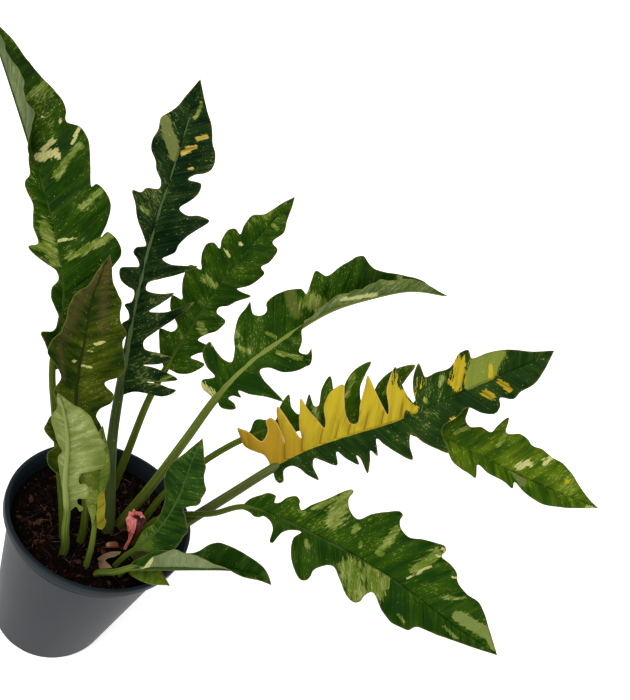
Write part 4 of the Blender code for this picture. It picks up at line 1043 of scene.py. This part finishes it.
# The drooping leaf behind it: dark fingers near its base, then bright mid-green with cream
# patches and flecks, and a beige tip.
grow(
    "leaf_10", seed=9, root=(40, 12), heading=7, blade_at=4, roll=(49, 51, 50), radii=(4.2, 3.4), puff=1.0,
    line=(
        (0, 150, 0), (4, 206, 0), (8, 241, 0), (28, 304, 5), (49, 344, 12), (68, 372, 14), (102, 405, 16),
        (142, 437, 17), (189, 458, 17), (232, 466, 17), (293, 469, 17), (350, 474, 17), (405, 483, 17),
    ),
    left=(
        (0, 3), (15, 5), (24, 14), (37, 10), (45, 8), (53, 22), (63, 32), (64, 18), (70, 10), (76, 14),
        (84, 29), (88, 16), (92, 16), (98, 33), (107, 45), (109, 31), (110, 16), (116, 20), (120, 37),
        (129, 51), (141, 59), (137, 45), (133, 31), (135, 17), (143, 24), (149, 39), (160, 53), (177, 62),
        (172, 45), (166, 29), (168, 16), (180, 20), (188, 37), (201, 45), (203, 31), (208, 20), (219, 31),
        (231, 41), (234, 27), (241, 22), (252, 27), (264, 27), (267, 35), (274, 49), (278, 34), (292, 39),
        (304, 38), (313, 34), (322, 35), (332, 32), (351, 30), (365, 23), (376, 14), (389, 6),
    ),
    right=(
        (0, -3), (20, -8), (29, -14), (35, -8), (51, -10), (59, -17), (66, -9), (86, -10), (94, -18),
        (100, -9), (123, -10), (133, -18), (139, -9), (164, -10), (173, -17), (180, -9), (204, -10),
        (221, -6), (231, -12), (241, -20), (256, -23), (268, -23), (265, -10), (278, -12), (294, -13),
        (308, -16), (308, -9), (322, -14), (342, -18), (363, -13), (380, -8),
    ),
    top=dict(
        dark=(0.014, 0.048, 0.001), light=(0.078, 0.128, 0.002), fleck=(0.20, 0.26, 0.04), streaks=0.63,
        flecks=0.63, soft=(0.105, 0.13, 0.035),
    ),
    under=dict(dark=(0.03, 0.07, 0.015), light=(0.09, 0.14, 0.035), fleck=LIME, streaks=0.62, flecks=0.62),
    cream=((306, 9, 315, 15, 4), (330, 24, 334, 32, 3.5), (390, -6, 400, -3, 3.5)),
    gold=((360, 14, 362, 15, 2),),
    lime=(
        (88, 16, 90, 2, 3), (120, 22, 128, 45, 2), (154, 27, 162, 45, 2), (276, 18, 278, 36, 2.5),
        (230, 10, 240, 21, 2.5),
    ),
    soft=((304, 3, 316, -4, 5.5),),
    dark=((0, 30, 190, 30, 50), (0, -30, 190, -30, 50)),
)

# The lower right leaf: dark green with lime lobes, a cream streak and a paler patch near the tip.
grow(
    "leaf_11", seed=10, root=(48, 0), heading=-8, blade_at=4, roll=(45, 45), radii=(3.8, 2.9), blunt=4.0,
    line=(
        (0, 150), (6, 211), (30, 246), (58, 274), (81, 308), (115, 324), (164, 337), (219, 348), (265, 351),
        (312, 351), (360, 355),
    ),
    left=(
        (0, 3), (6, 9), (15, 15), (23, 21), (29, 18), (30, 12), (35, 14), (40, 21), (47, 26), (53, 27),
        (54, 20), (58, 16), (65, 25), (77, 38), (88, 51), (98, 59), (96, 47), (102, 37), (112, 33),
        (122, 44), (133, 53), (146, 62), (146, 52), (150, 46), (160, 43), (172, 49), (184, 54), (194, 57),
        (193, 46), (203, 45), (214, 42), (219, 36), (232, 32), (247, 32), (258, 26), (269, 16),
    ),
    right=(
        (0, -3), (10, -6), (18, -10), (24, -5), (33, -7), (39, -13), (41, -24), (44, -29), (47, -20),
        (50, -12), (58, -6), (67, -4), (63, -12), (65, -22), (72, -34), (84, -44), (92, -46), (95, -38),
        (95, -31), (102, -23), (111, -20), (120, -26), (135, -37), (149, -39), (151, -28), (156, -22),
        (172, -30), (187, -34), (203, -31), (208, -24), (228, -17), (243, -12), (262, -7),
    ),
    top=dict(
        dark=(0.005, 0.028, 0.001), light=(0.024, 0.063, 0.001), fleck=(0.14, 0.19, 0.025), streaks=0.65,
        flecks=0.63, soft=(0.15, 0.19, 0.045),
    ),
    under=dict(dark=(0.03, 0.07, 0.015), light=(0.085, 0.13, 0.03), fleck=LIME, streaks=0.62, flecks=0.62),
    cream=((178, 9, 190, 33, 1), (188, 44, 194, 45, 1), (190, 52, 194, 52, 1.5), (212, 36, 219, 39, 1)),
    lime=(
        (92, 21, 94, 54, 9), (69, 24, 84, 42, 3.5), (126, -14, 146, -32, 11), (146, -3, 158, -18, 9.5),
        (164, -10, 162, 0, 4), (180, 20, 189, 46, 4.5), (144, 15, 147, 44, 3.5), (114, 21, 114, 27, 3),
        (126, 10, 124, 15, 2), (76, -10, 80, -14, 2.5), (57, 15, 62, 14, 2.5), (213, 14, 234, 28, 1.5),
        (188, -24, 195, -27, 1.5), (231, -6, 246, -8, 1.5),
    ),
    soft=((237, 10, 267, 12, 6), (270, 10, 280, 4, 3)),
)

# The small upright dark leaf: glossy dark green with a yellow-green base and a small streak.
grow(
    "leaf_12", seed=11, root=(45, -41), heading=40, blade_at=2, roll=(43, 48, 56), radii=(3.6, 2.7),
    sunk=0.45,
    line=(
        (0, 150, 0), (4, 177, 0), (14, 197, 0), (24, 217, 0), (29, 246, 0), (28, 285, 0), (20, 330, 0),
        (16, 368, 0),
    ),
    left=(
        (0, 3), (20, 10), (39, 8), (59, 9), (84, 14), (98, 19), (112, 21), (131, 18), (148, 10), (163, 4),
    ),
    right=(
        (0, -3), (10, -12), (22, -22), (35, -27), (51, -26), (62, -27), (71, -18), (77, -10), (85, -14),
        (94, -22), (106, -24), (120, -25), (131, -17), (145, -15), (160, -7),
    ),
    top=dict(
        dark=(0.005, 0.026, 0.002), light=(0.031, 0.076, 0.006), fleck=(0.14, 0.20, 0.04), streaks=0.64,
        flecks=0.63, soft=(0.07, 0.11, 0.012), melt=0.6, rough=0.22,
    ),
    under=dict(
        dark=(0.03, 0.06, 0.015), light=(0.07, 0.11, 0.03), fleck=OLIVE, streaks=0.66, flecks=0.66,
        soft=(0.08, 0.12, 0.02),
    ),
    stalk=dict(rib=(0.045, 0.085, 0.018)),
    lime=((152, 10, 159, 8, 1.5),),
    soft=((-6, 4, 14, 4, 10), (-6, -4, 14, -4, 10)),
)

# The low leaf at the front, whose near half curls up and shows its pale grey-green underside.
grow(
    "leaf_13", seed=12, root=(34, -60), heading=-10, blade_at=3, roll=(20, 40), radii=(4.2, 3.0),
    line=(
        (0, 150), (1, 167), (19, 186), (31, 208), (61, 239), (91, 270), (113, 292), (130, 306), (145, 313),
        (155, 312),
    ),
    fold_left=((0, 40), (80, 20)),
    fold_right=((0, 20), (22, 40), (38, 100), (95, 100), (130, 60), (165, 30)),
    left=(
        (0, 3), (14, 10), (30, 16), (50, 16), (70, 14), (82, 17), (94, 22), (104, 24), (116, 21), (128, 17),
        (140, 13), (153, 8),
    ),
    right=(
        (0, -3), (12, -6), (22, -9), (34, -15), (46, -20), (60, -23), (75, -25), (90, -23), (105, -16),
        (118, -10), (132, -10), (148, -7),
    ),
    top=dict(dark=DEEP, light=(0.024, 0.066, 0.006), fleck=OLIVE, streaks=0.66, flecks=0.65),
    under=dict(
        dark=(0.095, 0.122, 0.046), light=(0.150, 0.180, 0.078), fleck=(0.22, 0.25, 0.12), streaks=0.62,
        flecks=0.65, rough=0.5,
    ),
    stalk=dict(dark=(0.06, 0.095, 0.01), light=(0.16, 0.21, 0.04)),
    cream=((14, 3, 34, -15, 3.5),),
)

# The small yellow-green leaf under it, whose pointed tip hangs over the rim.
grow(
    "leaf_14", seed=13, root=(56, -47), heading=-9, blade_at=2, roll=(30, 20), radii=(2.6, 2.0),
    line=((0, 150, 0), (1, 166, 0), (5, 182, 0), (14, 195, 0), (32, 204, -2), (54, 211, -6)),
    left=((0, 2), (8, 8), (20, 11), (34, 10), (46, 5)),
    right=((0, -2), (8, -8), (20, -12), (34, -12), (45, -9)),
    top=dict(dark=(0.04, 0.08, 0.004), light=(0.11, 0.16, 0.012), fleck=LIME, streaks=0.64, flecks=0.66),
    under=dict(dark=(0.06, 0.10, 0.012), light=(0.13, 0.18, 0.035), fleck=LIME, streaks=0.64, flecks=0.66),
    stalk=dict(dark=(0.07, 0.11, 0.01), light=(0.15, 0.20, 0.03)),
)

# The soil: dark bark and coir, damp and near black, that fills the pot to 20 mm under its rim.
# Red-brown bark chips and crumb lie loose on it, with fine pale roots and coir threads between.

# metres
SOIL_TOP = 0.165
SOIL_RADIUS = 0.0928
SOIL_ROUGHNESS = 0.0012
SOIL_SEED = 3.0


def ground(name, radius, rings, sides):
    """An uneven round surface at the soil's level."""
    points = [(0.0, 0.0, SOIL_TOP + 0.001)]
    faces = []
    for ring in range(1, rings + 1):
        for side in range(sides):
            angle = 2 * math.pi * side / sides
            reach = radius * ring / rings
            spot = Vector((reach * math.cos(angle), reach * math.sin(angle), 0.0))
            high = noise.noise(spot * 45 + Vector((SOIL_SEED, 0, 0))) + 0.8 * noise.noise(spot * 150)
            high += 0.7 * noise.noise(spot * 420)
            points.append((spot.x, spot.y, SOIL_TOP + 0.0008 + SOIL_ROUGHNESS * high))
    for side in range(sides):
        following = (side + 1) % sides
        faces.append((0, 1 + side, 1 + following))
        for ring in range(rings - 1):
            low = 1 + ring * sides
            faces.append((low + side, low + sides + side, low + sides + following, low + following))
    return finish_mesh(name, points, faces, [])


def scatter(name, base, shapes, seed, material, **sizes):
    """Copies of the shapes strewn over the base surface, as one plain mesh.

    The sizes are the tree's inputs: copies per square metre, the smallest and largest scale of
    a copy, and how far it may tilt, in radians.
    """
    tree = bpy.data.node_groups.new(name + "_tree", "GeometryNodeTree")
    interface = tree.interface
    interface.new_socket("Geometry", in_out="INPUT", socket_type="NodeSocketGeometry")
    sockets = {}
    for label in sizes:
        socket = interface.new_socket(label.capitalize(), in_out="INPUT", socket_type="NodeSocketFloat")
        sockets[label] = socket.identifier
    interface.new_socket("Geometry", in_out="OUTPUT", socket_type="NodeSocketGeometry")
    link = tree.links.new
    entry = tree.nodes.new("NodeGroupInput")

    def random_value(kind, number):
        node = tree.nodes.new("FunctionNodeRandomValue")
        node.data_type = kind
        node.inputs["Seed"].default_value = seed + number
        return node

    spread = tree.nodes.new("GeometryNodeDistributePointsOnFaces")
    spread.inputs["Seed"].default_value = seed
    link(entry.outputs["Geometry"], spread.inputs["Mesh"])
    link(entry.outputs["Density"], spread.inputs["Density"])
    choice = tree.nodes.new("GeometryNodeJoinGeometry")
    for shape in shapes:
        info = tree.nodes.new("GeometryNodeObjectInfo")
        info.inputs["Object"].default_value = shape
        info.inputs["As Instance"].default_value = True
        link(info.outputs["Geometry"], choice.inputs["Geometry"])
    turn = random_value("FLOAT_VECTOR", 1)
    limits = tree.nodes.new("ShaderNodeCombineXYZ")
    limits.inputs["Z"].default_value = 2 * math.pi
    for axis in ("X", "Y"):
        link(entry.outputs["Tilt"], limits.inputs[axis])
    link(limits.outputs[0], turn.inputs["Max"])
    size = random_value("FLOAT", 2)
    link(entry.outputs["Smallest"], size.inputs[2])
    link(entry.outputs["Largest"], size.inputs[3])
    copy = tree.nodes.new("GeometryNodeInstanceOnPoints")
    copy.inputs["Pick Instance"].default_value = True
    link(spread.outputs["Points"], copy.inputs["Points"])
    link(choice.outputs[0], copy.inputs["Instance"])
    link(turn.outputs[0], copy.inputs["Rotation"])
    link(size.outputs[1], copy.inputs["Scale"])
    # each copy keeps three random numbers for its colour
    shade = random_value("FLOAT_VECTOR", 3)
    store = tree.nodes.new("GeometryNodeStoreNamedAttribute")
    store.data_type = "FLOAT_VECTOR"
    store.domain = "INSTANCE"
    store.inputs["Name"].default_value = "shade"
    link(copy.outputs[0], store.inputs["Geometry"])
    link(shade.outputs[0], store.inputs["Value"])
    whole = tree.nodes.new("GeometryNodeRealizeInstances")
    link(store.outputs[0], whole.inputs[0])
    coat = tree.nodes.new("GeometryNodeSetMaterial")
    coat.inputs["Material"].default_value = material
    link(whole.outputs[0], coat.inputs["Geometry"])
    leave = tree.nodes.new("NodeGroupOutput")
    link(coat.outputs[0], leave.inputs[0])

    modifier = base.modifiers.new("scatter", "NODES")
    modifier.node_group = tree
    for label, value in sizes.items():
        modifier[sockets[label]] = value
    bpy.context.view_layer.update()
    strewn = bpy.data.objects.new(name, evaluated_mesh(base))
    bpy.context.scene.collection.objects.link(strewn)
    for thing in (base, *shapes):
        bpy.data.objects.remove(thing, do_unlink=True)
    return strewn


def chip(seed, detail, long, wide, high):
    """A rough lump about long by wide by high millimetres."""
    bpy.ops.mesh.primitive_ico_sphere_add(subdivisions=detail, radius=0.5 * MM)
    lump = bpy.context.object
    for vertex in lump.data.vertices:
        spot = Vector(vertex.co) * 1000
        vertex.co *= 1 + 0.55 * noise.noise(spot * 2.3 + Vector((seed * 5.1, 0, 0)))
        vertex.co.x *= long
        vertex.co.y *= wide
        vertex.co.z *= high
    return lump


THREAD_STEPS = 9
THREAD_RADIUS = 0.16


def thread(seed, length):
    """A fine curved root or coir thread, lying flat, its length and radius in millimetres."""
    draw = random.Random(seed)
    route = [np.zeros(3)]
    heading = 0.0
    for _ in range(THREAD_STEPS):
        heading += draw.uniform(-0.5, 0.5)
        step = np.array([math.cos(heading), math.sin(heading), draw.uniform(-0.12, 0.14)])
        route.append(route[-1] + step * length / THREAD_STEPS)
    route = np.array(route) - np.mean(route, axis=0)
    across = np.tile([0.0, 0.0, 1.0], (len(route), 1))
    points, faces = tube(route * MM, [THREAD_RADIUS * MM] * len(route), sides=4, across=across)
    return finish_mesh("thread", points, faces, [])


crumb_paint = Paint("soil_crumb", Specular_IOR_Level=0.01)
x, y, z = crumb_paint.parts()
rough = crumb_paint.noise(crumb_paint.vector(x, y, z), 380.0, 5.0, 0.7)
clod = crumb_paint.noise(crumb_paint.vector(x, y, z), 90.0, 3.0, 0.6)
tone = crumb_paint.mix(rough.step(0.35, 0.75), (0.001, 0.0008, 0.0006), (0.006, 0.0035, 0.0024))
tone = crumb_paint.mix(clod.step(0.55, 0.75) * 0.6, tone, (0.012, 0.006, 0.004))
crumb_paint.put(Base_Color=tone, Roughness=rough * 0.3 + 0.65)
crumb_paint.bump(rough, 0.0016)

chip_paint = Paint("bark_chips", Specular_IOR_Level=0.02)
first, second, _ = chip_paint.parts("shade")
x, y, z = chip_paint.parts()
grain = chip_paint.noise(chip_paint.vector(x, y * 0.5, z), 900.0, 4.0, 0.7)
tone = chip_paint.mix(first, (0.0008, 0.0005, 0.0004), (0.010, 0.0045, 0.003))
tone = chip_paint.mix(second.step(0.82, 0.95), tone, (0.060, 0.026, 0.014))
tone = chip_paint.mix(grain.step(0.4, 0.75) * 0.7, tone, (0.002, 0.0015, 0.001))
chip_paint.put(Base_Color=tone, Roughness=grain * 0.3 + 0.6)
chip_paint.bump(grain, 0.0008)

root_paint = Paint("root_threads", Roughness=0.8, Specular_IOR_Level=0.1)
first, _, _ = root_paint.parts("shade")
root_paint.put(Base_Color=root_paint.mix(first * first, (0.035, 0.018, 0.010), (0.260, 0.180, 0.110)))

STREW_SEED = 40
soil_top = ground("soil_surface", SOIL_RADIUS, rings=60, sides=190)
soil_top.data.materials.append(crumb_paint.material)
chips = [chip(number, detail=2, long=11, wide=6, high=3.2) for number in range(5)]
crumbs = [chip(number + 9, detail=1, long=3.4, wide=2.3, high=1.8) for number in range(5)]
threads = [thread(number, 20 + 5 * number) for number in range(6)]
strew = (
    ("bark_chips", chips, chip_paint, 0.086, dict(density=22000, smallest=0.45, largest=1.1, tilt=0.5)),
    ("bark_crumb", crumbs, chip_paint, 0.090, dict(density=150000, smallest=0.4, largest=1.2, tilt=1.0)),
    ("root_threads", threads, root_paint, 0.078, dict(density=11000, smallest=0.6, largest=1.2, tilt=0.2)),
)
for number, (name, shapes, paint, radius, sizes) in enumerate(strew):
    base = ground("base", radius, rings=30, sides=90)
    strewn = scatter(name, base, shapes, STREW_SEED + number * 10, paint.material, **sizes)
    strewn.data.shade_flat()
    place(strewn, [], "soil")
place(soil_top, [], "soil")
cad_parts["soil"].material_slots[0].material = crumb_paint.material

# The creeping stem at the soil: short, thick and brown, ringed by the scars of old leaves.
# Only its upper side shows between the stalks, and it is fixed by its roots alone.
# Its sizes are in millimetres, like those of the stub and the sheaths.

STEM_STEP = 0.8
STEM_SIDES = 28


def stem(name, paint, route, radii, lumps):
    """A short closed stem along the route, rounded at both ends and lumpy all over."""
    route = smooth_line(route, STEM_STEP)
    share = np.linspace(0, 1, len(route))
    guide = np.eye(3)[np.argmin(np.abs(route[-1] - route[0]))]
    across = unit(np.cross(np.gradient(route, axis=0), guide))
    radius = even_table(radii, share)
    radius = radius * np.sqrt(np.clip(1 - ((share - 0.5) * 2) ** 8, 0.15, 1))
    points, faces = tube(route, radius, STEM_SIDES, across)
    outward = unit(points - np.repeat(route, STEM_SIDES, axis=0))
    swelling = lumps * (wobble(points, scale=0.30, seed=4) - 0.6)
    points = points + outward * swelling[:, None]
    where = np.zeros((len(points), 3))
    where[:, 0] = np.repeat(share, STEM_SIDES)
    piece = finish_mesh(name + "_dressed", points * MM, faces, [paint.material], attributes={"place": where})
    place(piece, [name], name)


bark = Paint("rhizome_bark", Roughness=0.8)
share, _, _ = bark.parts("place")
x, y, z = bark.parts()
grain = bark.noise(bark.vector(x, y, z), 500.0, 4.0, 0.6)
scar = abs((share * 6.0).math("FRACT") - 0.5) * 2.0
tone = bark.mix(grain.step(0.35, 0.7), (0.008, 0.005, 0.003), (0.045, 0.026, 0.012))
tone = bark.mix(scar.step(0.75, 0.95) * 0.6, tone, (0.006, 0.004, 0.003))
bark.put(Base_Color=tone)
bark.bump(grain + scar, 0.0009)
stem(
    "rhizome",
    bark,
    route=((3, -23, 156), (8, -28, 161), (14, -33, 162), (20, -38, 157)),
    radii=(4.5, 5.4, 5.2, 5.6, 5.0, 4.5),
    lumps=0.8,
)

# The brown stub: what is left of an old leaf stalk, dried to a brown-orange skin,
# torn off at a paler, pinkish end.
stub = Paint("stub_skin", Roughness=0.6)
share, _, _ = stub.parts("place")
x, y, z = stub.parts()
grain = stub.noise(stub.vector(x * 0.4, y * 0.4, z), 700.0, 4.0, 0.6)
tone = stub.mix(grain.step(0.3, 0.7), (0.070, 0.020, 0.005), (0.230, 0.070, 0.016))
tone = stub.mix((share + (grain - 0.5) * 0.2).step(0.84, 0.98), tone, (0.360, 0.160, 0.090))
stub.put(Base_Color=tone)
stub.bump(grain, 0.0006)
stem(
    "brown_stub",
    stub,
    route=((35, -12, 152), (34, -13, 161), (31, -18, 167), (25, -25, 169)),
    radii=(4.2, 4.4, 4.2, 3.8),
    lumps=0.5,
)

# The pink sheath: the papery scale leaf that wrapped a young leaf, salmon red and crumpled,
# curled round on itself and open on one side, where its inside shows, painted in near-black red as the shade
# in the rolled hollow.
outside = Paint("sheath_outside", Roughness=0.45, Coat_Weight=0.15)
x, y, z = outside.parts()
streak = outside.noise(outside.vector(x, y, z * 0.22), 420.0, 4.0, 0.65)
# pale pink blotches: partly the skin's own mottling, partly painted highlight
blotch_and_sheen = outside.noise(outside.vector(x, y, z), 130.0, 3.0, 0.6)
tone = outside.mix(streak.step(0.32, 0.68), (0.360, 0.040, 0.042), (0.760, 0.200, 0.170))
tone = outside.mix(blotch_and_sheen.step(0.55, 0.72) * 0.55, tone, (0.800, 0.420, 0.330))
outside.put(Base_Color=tone)
outside.bump(streak, 0.0009)
# the inside face: its red darkened to near black by painted shade in the hollow
inside = Paint("sheath_inside_shaded", Roughness=0.6)
x, y, z = inside.parts()
streak = inside.noise(inside.vector(x, y, z * 0.22), 420.0, 3.0, 0.6)
inside.put(Base_Color=inside.mix(streak.step(0.3, 0.7), (0.020, 0.002, 0.002), (0.120, 0.010, 0.010)))

SHEATH_FOOT = np.array([44.0, -12.0, 156.0])
SHEATH_LEAN = np.array([-8.0, 8.0, 0.0])
SHEATH_HEIGHT = 52.0
SHEATH_COLUMNS = 64
SHEATH_OPENING = 25
SHEATH_TURN = 275
SHEATH_THICKNESS = 0.6
# the section runs up the thin neck, out over the head and rolls in at the lip
neck = [(2.4, 0), (2.4, 9), (2.4, 18), (2.6, 26)]
head = [(4.6, 35), (8.2, 41), (9.6, 46), (9.2, 51), (6.6, 52.5), (4.8, 50)]
section = smooth_line([*neck, *head], step=0.8)
spots = []
for reach, height in section:
    share = min(height / SHEATH_HEIGHT, 1.0)
    bend = max(0.0, (share - 0.35) / 0.65)
    middle = SHEATH_FOOT + (0.0, 0.0, height) + SHEATH_LEAN * bend * bend
    for turn in np.linspace(0, 1, SHEATH_COLUMNS):
        angle = math.radians(SHEATH_OPENING + SHEATH_TURN * turn)
        around = Vector((math.cos(angle) * 2.4, math.sin(angle) * 2.4, height * 0.10))
        fold = Vector((math.cos(angle) * 6.0, math.sin(angle) * 6.0, height * 0.22))
        crease = noise.noise(around) + 0.5 * noise.noise(fold)
        width = reach * (1 + 0.34 * bend * crease - 0.12 * turn * bend)
        lift = 1.6 * bend * noise.noise(around * 1.7)
        spots.append(middle + (math.cos(angle) * width, math.sin(angle) * width, lift))
triangles = []
for row in range(len(section) - 1):
    for column in range(SHEATH_COLUMNS - 1):
        corner = row * SHEATH_COLUMNS + column
        opposite = corner + SHEATH_COLUMNS + 1
        triangles += [(corner, corner + 1, opposite), (corner, opposite, opposite - 1)]
points, faces, slots = sheet(np.array(spots), np.array(triangles), np.full(len(spots), SHEATH_THICKNESS))
sheath = finish_mesh("pink_sheath_dressed", points * MM, faces, [outside.material, inside.material], slots)
place(sheath, ["pink_sheath"], "pink_sheath")

# The tan sheath: an older one, dried flat, light tan and ribbed, split into two prongs,
# with its narrow end still in the soil.
dry = Paint("tan_skin", Roughness=0.7)
s, w, edge = dry.parts("place")
ribs = dry.noise(dry.vector(s * 0.05, w * 1.1, 0.0), 1.0, 4.0, 0.65)
tone = dry.mix(ribs.step(0.3, 0.7), (0.075, 0.042, 0.018), (0.240, 0.145, 0.066))
tone = dry.mix(edge.step(0.9, 0.1) * 0.5, tone, (0.300, 0.195, 0.100))
dry.put(Base_Color=tone)
dry.bump(ribs, 0.0008)

HUSK_GRID = 1.5
HUSK_THICKNESS = 0.7
husk = Leaf(
    root=(29, -48), heading=-12, blade_at=0, roll=(60, 40),
    line=((0, 155), (0, 161), (2, 168), (9, 173), (18, 176)),
)
prongs = [(0, 3), (8, 5), (16, 9), (25, 15), (33, 18), (28, 11), (20, 4)]
straight_side = [(0, -3), (10, -5), (20, -5), (26, -3)]
outline = edge_line(prongs, straight_side, husk.length, step=1.0)
places, triangles = split_blade(outline, husk.length, HUSK_GRID)
edge = np.maximum(inside_distance(places, outline), 0.0)
crumple = 0.8 * wobble(np.column_stack([places, np.zeros(len(places))]), scale=0.12, seed=6)
surface = husk.surface(places[:, 0], places[:, 1], crumple)
points, faces, _ = sheet(surface, triangles, np.full(len(places), HUSK_THICKNESS))
where = np.tile(np.column_stack([places, edge]), (2, 1))
dried = finish_mesh("tan_sheath_dressed", points * MM, faces, [dry.material], attributes={"place": where})
place(dried, ["tan_sheath"], "tan_sheath")

# The camera stands where the photo was taken from, above the plant and turned about its own axis.
# The object stands on a plain pale floor in soft studio light.
FIELD_OF_VIEW = math.radians(57.0)
ELEVATION = math.radians(25.7)
ROLL = math.radians(32.75)
RIM = np.array([0.0, 0.0, 0.185])
RIM_IN_VIEW = np.array([-0.2386, -0.1812, -0.7297])
back = np.array([0.0, -math.cos(ELEVATION), math.sin(ELEVATION)])
level = np.array([1.0, 0.0, 0.0])
upward = np.cross(back, level)
turned = np.array([
    math.cos(ROLL) * level + math.sin(ROLL) * upward,
    -math.sin(ROLL) * level + math.cos(ROLL) * upward,
    back,
])
stand = RIM - turned.T @ RIM_IN_VIEW
lens = bpy.data.cameras.new("camera")
lens.sensor_fit = "VERTICAL"
lens.angle = FIELD_OF_VIEW
lens.clip_start = 0.01
camera = bpy.data.objects.new("camera", lens)
camera.matrix_world = Matrix([[*turned[:, axis], stand[axis]] for axis in range(3)] + [[0, 0, 0, 1]])
bpy.context.scene.collection.objects.link(camera)
bpy.context.scene.camera = camera

FLOOR_REACH = 40.0
floor_paint = Paint("floor", Roughness=0.9, Specular_IOR_Level=0.1)
floor_paint.put(Base_Color=(0.93, 0.93, 0.93), Emission_Color=(1.0, 1.0, 1.0), Emission_Strength=0.50)
turns = ((-1, -1), (1, -1), (1, 1), (-1, 1))
corners = [(side * FLOOR_REACH, front * FLOOR_REACH, 0.0) for side, front in turns]
floor = finish_mesh("floor", corners, [(0, 1, 2, 3)], [floor_paint.material])

# The studio is white near the ground and darker overhead, so that the leaves keep their depth.
world = bpy.data.worlds.new("studio")
world.use_nodes = True
nodes = world.node_tree.nodes
link = world.node_tree.links.new
direction = nodes.new("ShaderNodeTexCoord")
split = nodes.new("ShaderNodeSeparateXYZ")
fade = nodes.new("ShaderNodeMapRange")
for label, value in (("From Min", 0.25), ("From Max", 0.70), ("To Min", 1.10), ("To Max", 0.22)):
    fade.inputs[label].default_value = value
link(direction.outputs["Generated"], split.inputs[0])
link(split.outputs["Z"], fade.inputs["Value"])
link(fade.outputs[0], nodes["Background"].inputs["Strength"])
nodes["Background"].inputs["Color"].default_value = (1.0, 1.0, 1.0, 1.0)
bpy.context.scene.world = world
bpy.context.scene.view_settings.view_transform = "Standard"
for name, spot, power, softness in (
    ("key", (-0.5, -0.9, 1.7), 1.9, 35.0),
    ("fill", (1.2, -0.8, 1.2), 0.5, 60.0),
    ("back", (0.3, 1.3, 1.4), 0.4, 60.0),
):
    lamp = bpy.data.lights.new(name, "SUN")
    lamp.energy = power
    lamp.angle = math.radians(softness)
    light = bpy.data.objects.new(name, lamp)
    aim = (-Vector(spot)).to_track_quat("-Z", "Y")
    light.matrix_world = Matrix.Translation(spot) @ aim.to_matrix().to_4x4()
    bpy.context.scene.collection.objects.link(light)
